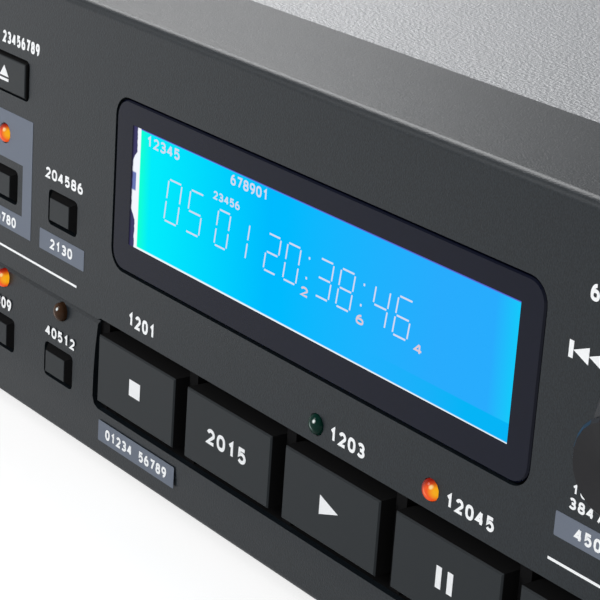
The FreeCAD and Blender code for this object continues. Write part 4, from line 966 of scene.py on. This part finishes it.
    def keys(self) -> None:
        """Prints symbols on the keys and the level knob's pointer, which move with them."""
        row = ((Sign.STOP, "stop_key"), (None, "call_key"), (Sign.PLAY, "play_key"),
               (Sign.PAUSE, "pause_key"), (Sign.BACK, "search_back_key"), (Sign.AHEAD, "search_ahead_key"))
        for number, (sign, key) in enumerate(row):
            ink_on_key = Print(-self.row_face)
            x = self.row_x + number * self.row_pitch
            if sign is None:
                ink_on_key.figures("2015", Box.around(x, self.row_z, 6.0, 1.5))
            else:
                ink_on_key.sign(sign, x, self.row_z)
            ink_on_key.build(f"{key}_symbol", Paint.KEY_INK, key)
        eject = Print(-self.eject_face)
        eject.sign(Sign.EJECT, self.eject_x, self.eject_z)
        eject.build("eject_key_symbol", Paint.KEY_INK, "eject_key")
        pointer = Print(self.groove_depth - self.knob_height)
        middle = self.level_z + (self.groove_start + self.groove_end) / 2
        length = self.groove_end - self.groove_start
        pointer.block(Box.around(self.level_x, middle, self.pointer_width, length))
        pointer.build("level_knob_pointer", Paint.KEY_INK, "level_knob")


@dataclass
class Display:
    """The lit picture that shows through the window.

    The slant is how far a figure leans to the right for each millimetre of its height.
    """

    lit: Box = Box(46.04, 96.82, 1.13, 12.42)
    margin: float = 1.35
    slant: float = math.tan(math.radians(8))
    stroke: float = 0.15
    segment_gap: float = 0.16
    colon_places: Point = (71.25, 78.5)
    colon_levels: Point = (6.22, 8.02)
    small_weight: float = 0.18
    mark_weight: float = 0.2
    skin: float = 0.01

    def build(self) -> None:
        """Draws the lit area and the figures on it."""
        lit = self.lit
        glow = Print(0.0)
        glow.thickness = self.skin
        glow.block(Box(lit.left - self.margin, lit.right, lit.low, lit.high))
        glow.build("lit_display_area", self.backlight())
        ink = Print(-self.skin)
        self.digits(ink)
        self.small_print(ink)
        ink.build("display_figures", Paint.CELL_INK)

    def backlight(self) -> bpy.types.Material:
        """Dyed film over a backlight: mint, cyan and azure from left to right, with soft changes.

        Returns:
            The material.
        """
        shader = Surface("dyed_backlit_cell")
        x, z, lit = shader.x, shader.z, self.lit
        changes = (
            (lit.left + 0.3, lit.left + 1.9, 1.0, "#02ecfc"),
            (lit.left + 2.5, lit.left + 20.0, 1.0, "#00bbfe"),
            (lit.left + 22.0, lit.left + 42.0, 1.0, "#28acfd"),
            (lit.right - 2.6, lit.right, 0.8, "#0cd0fa"),
        )
        along = [(shader.add("MapRange", {0: x, 1: start, 2: end, 4: share}), code)
                 for start, end, share, code in changes]
        # The lowest 1.6 mm turn cyan towards the right.
        low = shader.add("MapRange", {0: z, 1: lit.low + 1.66, 2: lit.low + 1.58})
        toward_right = shader.add("MapRange", {0: x, 1: 80.0, 2: 92.0})
        low_right = shader.add("Math", {0: low, 1: toward_right}, operation="MULTIPLY")
        # A pale line runs along the foot and thins towards the right.
        thick = shader.add("MapRange", {0: x, 1: lit.left, 2: lit.right, 3: 0.17, 4: 0.08})
        rise = shader.add("Math", {0: z, 1: lit.low}, operation="SUBTRACT")
        past_line = shader.add("Math", {0: rise, 1: thick}, operation="SUBTRACT")
        foot_line = shader.add("MapRange", {0: past_line, 1: 0.06, 2: -0.04})
        # A violet line runs along the top.
        top_line = shader.within(z, lit.high - 0.09, lit.high + 1, 0.02)
        edges = ((low_right, "#06b4f6"), (foot_line, "#f2fbff"), (top_line, "#5a62c8"))
        colour = shader.layered(linear("#12ffd6"), *along, *edges, *self.stray_light(shader))
        return shader.finish(lit_from_behind(colour))

    def stray_light(self, shader: Surface) -> list[tuple[Socket, str]]:
        """A ragged white strip left of the lit area, with a dim margin outside it.

        The strip's left side is its usual place, less a bulge between two levels, plus a noise that changes
        over 0.6 mm.

        Args:
            shader: the nodes that it joins.

        Returns:
            The layers of colour, each as its share and its hex code.
        """
        x, z, left = shader.x, shader.z, self.lit.left
        white = shader.add("MapRange", {0: x, 1: left + 0.1, 2: left - 0.02})
        rough = shader.add("TexNoise", {"Vector": shader.place, "Scale": 1.6, "Detail": 3.0})
        usual = shader.add("MapRange", {0: rough, 1: 0.3, 2: 0.7, 3: left - 0.56, 4: left - 0.42})
        bulge = shader.within(z, 4.2, 9.7, 0.45)
        side = shader.add("Math", {0: bulge, 1: -0.62, 2: usual}, operation="MULTIPLY_ADD")
        notch = shader.add("MapRange", {0: x, 1: left - 0.45, 2: left - 0.55})
        notch = shader.add("Math", {0: shader.within(z, 6.5, 8.2, 0.08), 1: notch}, operation="MULTIPLY")
        outside = shader.add("Math", {0: side, 1: x}, operation="SUBTRACT")
        return [
            (white, "#f4f8ff"),
            (notch, "#6a78b4"),
            (shader.add("MapRange", {0: outside, 1: -0.05, 2: 0.05}), "#3f3c66"),
            (shader.add("MapRange", {0: x, 1: left - 0.95, 2: left - 1.3}), "#1c1b26"),
        ]

    def digits(self, ink: Print) -> None:
        """Prints the seven-segment figures, as thin slanted strokes with small gaps.

        Args:
            ink: the print that takes them.
        """
        big, small = Box(0, 2.05, 5.12, 9.04), Box(0, 1.8, 5.18, 8.5)
        places = (("0", 50.3, big), ("5", 53.73, big), ("0", 58.15, small), ("1", 60.98, small),
                  ("2", 65.44, small), ("0", 68.21, small), ("3", 72.66, small), ("8", 75.45, small),
                  ("4", 79.93, small), ("6", 82.74, small))
        for figure, left, size in places:
            self.digit(ink, figure, left, size)
        for x in self.colon_places:
            for z in self.colon_levels:
                ink.block(Box.around(x + (z - small.low) * self.slant, z, 0.18, 0.2))

    def digit(self, ink: Print, figure: str, left: float, size: Box) -> None:
        """One figure from its lit segments.

        Args:
            ink: the print that takes it.
            figure: 0 to 9.
            left: its lower left corner along the panel.
            size: its width and its lower and upper levels.
        """
        width, low, high = size.right, size.low, size.high
        middle = (low + high) / 2
        corners = {"a": (0, high, width, high), "b": (width, middle, width, high),
                   "c": (width, low, width, middle), "d": (0, low, width, low), "e": (0, low, 0, middle),
                   "f": (0, middle, 0, high), "g": (0, middle, width, middle)}
        lit = {"0": "abcdef", "1": "bc", "2": "abged", "3": "abgcd", "4": "fgbc", "5": "afgcd",
               "6": "afgedc", "7": "abc", "8": "abcdefg", "9": "abcdfg"}[figure]
        gap, half = self.segment_gap, self.stroke / 2
        for name in lit:
            x0, z0, x1, z1 = corners[name]
            if z0 == z1:
                box = Box(x0 + gap, x1 - gap, z0 - half, z0 + half)
            else:
                box = Box(x0 - half, x0 + half, z0 + gap, z1 - gap)
            outline = box.outline()
            along = left + outline[:, 0] + (outline[:, 1] - low) * self.slant
            ink.area(np.column_stack((along, outline[:, 1])))

    def small_print(self, ink: Print) -> None:
        """Prints the small figures above and beside the large ones.

        Args:
            ink: the print that takes those above.
        """
        ink.figures("12345", Box(47.05, 52.3, 11.1, 12.1), self.small_weight)
        ink.figures("678901", Box(60.1, 65.5, 11.15, 12.1), self.small_weight)
        ink.figures("23456", Box(57.7, 61.6, 9.2, 9.95), self.small_weight)
        marks = Print(-self.skin)
        for text, x in (("2", 70.75), ("6", 78.15), ("4", 85.45)):
            marks.figures(text, Box(x, x + 1.0, 4.57, 5.42), self.mark_weight)
        marks.build("display_unit_marks", Paint.CELL_MARK_INK)


@dataclass
class Lamps:
    """Domed lamps in the panel, each with a dome, a neck and a wider foot behind the panel.

    The rim is the depth at which the dome meets the neck.
    """

    radius: float = 0.92
    dome: float = 0.58
    rim: float = 0.05
    neck_end: float = 8.8
    foot_radius: float = 1.6
    foot_end: float = 10.0
    lit: tuple[Point, ...] = ((21.9, 5.85), (21.9, -9.3), (88.87, -5.8))
    green: tuple[Point, ...] = ((74.06, -5.8),)
    amber: tuple[Point, ...] = ((33.1, -9.3),)

    def build(self) -> None:
        """Replaces the lamps' CAD solids with fine domes."""
        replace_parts(self.domes("orange_lamp_domes", self.lit, self.glowing()), "orange_lamps")
        green = self.dark("green_tinted_cast_epoxy", "#042b23", "#93aaa4")
        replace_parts(self.domes("green_lamp_dome", self.green, green), "unlit_lamps")
        amber = self.dark("amber_tinted_cast_epoxy", "#3e2a1c", "#8c766a")
        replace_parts(self.domes("amber_lamp_dome", self.amber, amber), "unlit_lamps")

    def domes(self, name: str, places: Iterable[Point], material: bpy.types.Material) -> bpy.types.Object:
        """One object with a dome and a body at each place.

        A dome's height at radius r is its full height times the square root of 1 - (r / R) squared. Each
        vertex keeps its offset from its own lamp's axis, as a share of the radius.

        Args:
            name: the object's name.
            places: each lamp's middle along and up the panel.
            material: what all of them are made of.

        Returns:
            The new object.
        """
        solid = Solid()
        turns = np.linspace(0, math.pi / 2, 12)
        dome = [(self.radius * math.sin(turn), -self.dome * math.cos(turn) + self.rim) for turn in turns]
        base = [(self.radius, self.neck_end), (self.foot_radius, self.neck_end),
                (self.foot_radius, self.foot_end), (0, self.foot_end)]
        offsets = []
        for x, z in places:
            before = solid.count
            solid.lathe(dome + base, x, z)
            own = np.vstack(solid.points)[before:]
            offsets.append((own - (x, 0.0, z)) / self.radius)
        return solid.build(name, material, smooth=True, offsets=np.vstack(offsets))

    @staticmethod
    def distance(shader: Surface, along: float, up: float) -> Socket:
        """How far a point is from a spot on its lamp, seen from the front.

        Args:
            shader: the nodes that it joins.
            along: the spot's offset along the panel from the lamp's axis, as a share of the radius.
            up: its offset up the panel.

        Returns:
            The distance, as a share of the radius.
        """
        offset = shader.add("Attribute", output="Vector", attribute_name="offset")
        flat = shader.add("VectorMath", {0: offset, 1: (1.0, 0.0, 1.0)}, operation="MULTIPLY")
        spot = {0: flat, 1: (along, 0.0, up)}
        return shader.add("VectorMath", spot, output="Value", operation="DISTANCE")

    def gathered(self, shader: Surface) -> Socket:
        """Marks the crescent of painted reflection along a dome's lower left.

        Args:
            shader: the nodes that it joins.

        Returns:
            1 on the crescent and 0 elsewhere.
        """
        ring = shader.within(self.distance(shader, 0.25, 0.2), 0.5, 0.62, 0.05)
        low = shader.add("MapRange", {0: self.distance(shader, -0.7, -0.6), 1: 0.95, 2: 0.6})
        return shader.add("Math", {0: ring, 1: low}, operation="MULTIPLY")

    def glowing(self) -> bpy.types.Material:
        """Cast epoxy, lit from within: an orange body with a yellow core, a deep red rim of painted shade,
        a crescent of painted reflection and a bright spot of painted highlight.

        Returns:
            The material.
        """
        shader = Surface("lit_orange_cast_epoxy")
        # Painted shade: the rim darkens to deep red, most at the upper left, where the panel's hole shades
        # the dome.
        rim = shader.add("MapRange", {0: self.distance(shader, 0.55, -0.2), 1: 0.76, 2: 1.25})
        core = shader.add("MapRange", {0: self.distance(shader, 1.1, 0.2), 1: 0.95, 2: 0.35})
        # Painted highlight: a pale yellow spot high on the dome, where a glint of the key light falls.
        die = shader.add("MapRange", {0: self.distance(shader, 0.45, 0.5), 1: 0.24, 2: 0.1, 4: 0.8})
        tones = ((core, "#ffb418"), (rim, "#7a1008"), (self.gathered(shader), "#ff9a64"), (die, "#fff0a8"))
        return shader.finish({
            "Base Color": linear("#5a1206"),
            "Roughness": 0.12,
            "IOR": 1.55,
            "Specular IOR Level": 0.08,
            "Emission Color": shader.layered(linear("#f4581e"), *tones),
            "Emission Strength": 0.85,
        })

    def dark(self, name: str, body: str, crescent: str) -> bpy.types.Material:
        """Cast epoxy, unlit: a dark dyed body with a pale spot of painted highlight and a crescent of
        painted reflection.

        Args:
            name: the material's name.
            body: colour of the dyed epoxy.
            crescent: colour of the painted reflection.

        Returns:
            The material.
        """
        shader = Surface(name)
        # Painted highlight: a near-white spot high on the dome, where a glint of the key light falls.
        painted_glint = shader.add("MapRange", {0: self.distance(shader, 0.2, 0.45), 1: 0.21, 2: 0.08})
        return shader.finish({
            "Base Color": shader.layered(linear(body), (self.gathered(shader), crescent), (painted_glint, "#f2faf8")),
            "Roughness": 0.1,
            "IOR": 1.55,
            "Specular IOR Level": 0.05,
        })


@dataclass
class Fasteners:
    """Pan-head cross screws on the case.

    The top of a head is the cap of an ellipsoid, and the crown is the share of the ellipsoid's half width
    that it takes up.
    """

    radius: float = 2.9
    height: float = 1.5
    crown: float = 0.8
    cross_width: float = 0.42
    cross_reach: float = 1.7
    cross_depth: float = 0.9
    side_x: float = 218.0
    side_depths: Triple = (45.0, 152.0, 260.0)
    side_z: float = -15.0
    lip_places: Triple = (-200.0, 0.0, 200.0)
    lip_depth: float = 291.0
    lip_z: float = 17.3
    plate_places: tuple[float, ...] = (-208.0, -104.0, 0.0, 104.0, 208.0)
    plate_depth: float = 290.0
    plate_z: float = -17.0

    def build(self) -> None:
        """Sets the screws in the cover's sides, its rear lip and the back plate."""
        for name, places in self.places().items():
            heads = Solid()
            for place, outward, across in places:
                self.head(heads, place, outward, across)
            heads.build(name, Paint.SCREW, smooth=True)

    def places(self) -> dict[str, list[tuple[Triple, Triple, Triple]]]:
        """Where the screws sit.

        Returns:
            The seat, the outward way and one way across of each screw, by the name of its group.
        """
        right, back = (1.0, 0.0, 0.0), (0.0, 1.0, 0.0)
        sides = [((way * self.side_x, depth, self.side_z), (way, 0.0, 0.0), back)
                 for way in (-1.0, 1.0) for depth in self.side_depths]
        lip = [((x, self.lip_depth, self.lip_z), back, right) for x in self.lip_places]
        plate = [((x, self.plate_depth, self.plate_z), back, right) for x in self.plate_places]
        return {"cover_side_screws": sides, "cover_rear_screws": lip, "back_plate_screws": plate}

    def head(self, heads: Solid, place: Triple, outward: Triple, across: Triple, rings: int = 11,
             steps: int = 32) -> None:
        """Adds one screw head.

        Its height at radius r is the full height times the root of 1 - (crown r / R) squared, less the
        cross: a recess where the point lies near one of two lines and not far out.

        Args:
            heads: what takes it.
            place: the middle of its seat.
            outward: the way its top faces.
            across: the way one line of its cross runs.
            rings: circles of points between its middle and its rim.
            steps: points around.
        """
        radii = np.linspace(0, 1, rings)[1:, None] * self.radius
        angles = np.linspace(0, 2 * math.pi, steps, endpoint=False)
        u, v = radii * np.cos(angles), radii * np.sin(angles)
        near_line = np.minimum(np.abs(u), np.abs(v)) < self.cross_width
        recess = (near_line & (radii < self.cross_reach)) * self.cross_depth
        top = self.height * np.sqrt(1 - (self.crown * radii / self.radius) ** 2) - recess
        middle = np.array([(0.0, 0.0, self.height - self.cross_depth)])
        foot = np.column_stack((u[-1], v[-1], np.zeros(steps)))
        local = np.vstack((middle, np.stack((u, v, top), axis=-1).reshape(-1, 3), foot))
        out = np.array(outward)
        side = np.array(across)
        basis = np.stack((side, np.cross(out, side), out))
        ring = np.arange(rings * steps).reshape(rings, steps) + 1
        after = np.roll(ring, -1, axis=1)
        quads = np.stack((ring[:-1], ring[1:], after[1:], after[:-1]), axis=-1).reshape(-1, 4)
        fan = np.column_stack((np.zeros(steps, dtype=int), ring[0], after[0]))
        heads.add(local @ basis + np.array(place), [*quads, *fan, ring[-1][::-1]])


@dataclass
class Sockets:
    """Coloured rings in the round sockets, the serial socket's posts and figures on the back.

    A ring and a collar are given by the inner and outer radius, and by how far their two ends lie behind
    the back plate. The places of the printing are counted as they are read, from behind.
    """

    first_x: float = 40.0
    pitch: float = 18.0
    level: float = -3.0
    plate: float = 290.0
    ring: tuple[float, float, float, float] = (2.62, 3.28, 1.05, 6.6)
    collar: tuple[float, float, float, float] = (4.2, 5.6, 0.0, 0.5)
    serial_x: float = 150.0
    post_offset: float = 12.4
    post_radius: float = 2.4
    post_length: float = 4.6
    bore_radius: float = 1.4
    bore_floor: float = 2.0
    figure_rise: float = 9.2
    figure_height: float = 1.8
    line_ends: Point = (-82.0, -34.0)
    line_z: float = 8.6
    line_width: float = 0.3

    def build(self) -> None:
        """Makes the rings, the posts and the figures."""
        self.rings()
        self.posts()
        self.figures()

    def rings(self) -> None:
        """Sets a ring in each round socket and a collar around it."""
        colours = (("white", Paint.WHITE_RING), ("red", Paint.RED_RING), ("orange", Paint.ORANGE_RING))
        for number, (name, paint) in enumerate(colours):
            x = self.first_x + number * self.pitch
            for kind, (inner, outer, near, far) in (("ring", self.ring), ("collar", self.collar)):
                near, far = self.plate + near, self.plate + far
                round_wall = Solid()
                round_wall.lathe([(inner, near), (outer, near), (outer, far), (inner, far)], x, self.level)
                round_wall.build(f"{name}_socket_{kind}", paint)

    def posts(self) -> None:
        """Sets the two six-sided posts that hold a plug in the serial socket."""
        posts = Solid()
        foot, end, floor = self.plate, self.plate + self.post_length, self.plate + self.bore_floor
        profile = [(0, foot), (self.post_radius, foot), (self.post_radius, end), (self.bore_radius, end),
                   (self.bore_radius, floor), (0, floor)]
        for way in (-1, 1):
            posts.lathe(profile, self.serial_x + way * self.post_offset, self.level, 6)
        posts.build("serial_socket_posts", Paint.ZINC)

    def figures(self) -> None:
        """Prints plain figures and a line above the sockets, read from behind."""
        ink = Print(self.plate, behind=True)
        z, height = self.level + self.figure_rise, self.figure_height
        for number in range(3):
            x = -(self.first_x + number * self.pitch)
            ink.figures(str(3 - number), Box.around(x, z, 1.2, height))
        ink.figures("23", Box.around(-self.serial_x, z, 3.0, height))
        start, end = self.line_ends
        ink.line(np.array([(start, self.line_z), (end, self.line_z)]), self.line_width)
        ink.build("back_plate_white_print", Paint.WHITE_INK)


@dataclass
class Stage:
    """The floor, the lights, the world and the camera.

    The floor's reach and the lights' places and sizes are in metres. The tones of the world are shares of
    white. Each change gives the two values between which a tone fades: the height of a direction, or else
    its component towards the bright side.
    """

    floor_level: float = -23.2
    floor_reach: float = 3.0
    paper: str = "#c6c6c6"
    floor_lift: float = 0.67
    bright_side: Triple = (-0.656, -0.755, 0.0)
    side_change: Point = (-0.12, 0.12)
    grey_side: float = 0.28
    white_side: float = 0.85
    ceiling_change: Point = (0.35, 0.55)
    ceiling: float = 0.9
    front_change: Point = (0.15, 0.4)
    soft_light: float = 0.5
    eye: Triple = (208.0, -110.5, 65.8)
    right: Triple = (0.5973, 0.7994, 0.0641)
    up: Triple = (-0.3040, 0.1517, 0.9405)
    back: Triple = (0.7422, -0.5813, 0.3336)
    lens: float = 134.265
    sensor: float = 36.0
    nearest: float = 10.0

    def build(self) -> None:
        """Sets the stage."""
        self.floor()
        self.world()
        self.lamp("key_softbox", place=(-0.75, -1.25, 0.75), target=(0.06, 0.0, 0.0), power=15.0)
        self.lamp("rear_softbox", place=(-0.82, 0.43, 0.84), target=(0.1, 0.06, 0.0), power=14.0)
        self.camera()
        bpy.context.scene.view_settings.view_transform = "Standard"

    def floor(self) -> None:
        """A pale floor that shows white and keeps a soft shadow."""
        reach = self.floor_reach
        mesh = bpy.data.meshes.new("floor")
        level = self.floor_level * MM
        mesh.from_pydata([(-reach, -reach, level), (reach, -reach, level), (reach, reach, level),
                          (-reach, reach, level)], [], [(0, 1, 2, 3)])
        # Rolled paper: pale, even and without shine.
        material = bpy.data.materials.new("matte_rolled_paper_floor")
        shader = Shader(material)
        paper = shader.add("BsdfDiffuse", {"Color": linear(self.paper)})
        share = shader.add("Math", {0: shader.seen(), 1: self.floor_lift}, operation="MULTIPLY")
        lift = shader.add("Emission", {"Color": (1.0, 1.0, 1.0, 1.0), "Strength": share})
        shader.add("OutputMaterial", {"Surface": shader.add("AddShader", {0: paper, 1: lift})})
        mesh.materials.append(material)
        piece = bpy.data.objects.new("floor", mesh)
        bpy.context.scene.collection.objects.link(piece)

    def world(self) -> None:
        """A white backdrop and a soft even light.

        Shiny surfaces see the backdrop as white low down towards the front left, and as grey above that
        and towards the back right, with soft changes between them.
        """
        world = bpy.data.worlds.new("studio")
        bpy.context.scene.world = world
        shader = Shader(world)
        way = shader.add("TexCoord", output="Generated")
        facing = {0: way, 1: self.bright_side}
        side = shader.add("VectorMath", facing, output="Value", operation="DOT_PRODUCT")
        low, high = self.side_change
        tone = shader.add("MapRange", {0: side, 1: low, 2: high, 3: self.grey_side, 4: self.white_side})
        height = shader.add("SeparateXYZ", {0: way}, output=2)
        low, high = self.ceiling_change
        ceiling = shader.add("MapRange", {0: height, 1: low, 2: high, 4: self.ceiling})
        low, high = self.front_change
        front = shader.add("MapRange", {0: side, 1: low, 2: high})
        ceiling = shader.add("Math", {0: ceiling, 1: front}, operation="MULTIPLY")
        tone = shader.add("Mix", {0: ceiling, 2: tone, 3: self.grey_side})
        camera = shader.add("LightPath", output="Is Camera Ray")
        shown = shader.add("Math", {0: tone, 1: camera}, operation="MAXIMUM")
        strength = shader.add("Mix", {0: shader.seen(), 2: self.soft_light, 3: shown})
        sky = shader.add("Background", {"Color": (1.0, 1.0, 1.0, 1.0), "Strength": strength})
        shader.add("OutputWorld", {"Surface": sky})

    @staticmethod
    def lamp(name: str, place: Triple, target: Triple, power: float, size: float = 0.6) -> None:
        """Adds a square soft light.

        Args:
            name: its name.
            place: where it stands.
            target: the point it faces.
            power: its power in watts.
            size: the length of its sides.
        """
        light = bpy.data.lights.new(name, "AREA")
        light.size = size
        light.energy = power
        holder = bpy.data.objects.new(name, light)
        holder.location = place
        holder.rotation_euler = (Vector(target) - Vector(place)).to_track_quat("-Z", "Y").to_euler()
        bpy.context.scene.collection.objects.link(holder)

    def camera(self) -> None:
        """The photograph's camera."""
        lens = bpy.data.cameras.new("camera")
        lens.lens = self.lens
        lens.sensor_width = self.sensor
        lens.clip_start = self.nearest * MM
        holder = bpy.data.objects.new("camera", lens)
        turn = Matrix((self.right, self.up, self.back)).transposed().to_4x4()
        holder.matrix_world = Matrix.Translation(Vector(self.eye) * MM) @ turn
        bpy.context.scene.collection.objects.link(holder)
        bpy.context.scene.camera = holder


def dress(nodes: dict[str, bpy.types.Object]) -> None:
    """Gives every CAD node its finish.

    Args:
        nodes: the CAD nodes by name.
    """
    for paint, names in NODE_PAINTS.items():
        material = paint.value.build()
        for name in names:
            nodes[name].data.materials.clear()
            nodes[name].data.materials.append(material)
            log.info("%s takes %s", name, material.name)


def main() -> None:
    """Loads the frame and builds every part of the scene in order."""
    logging.basicConfig(level=logging.INFO, format="%(message)s")
    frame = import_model()
    dress(frame["nodes"])
    for part in (Display(), Lamps(), PanelPrint(), Fasteners(), Sockets(), Stage()):
        part.build()
        log.info("%s is built", type(part).__name__)


if __name__ == "__main__":
    main()
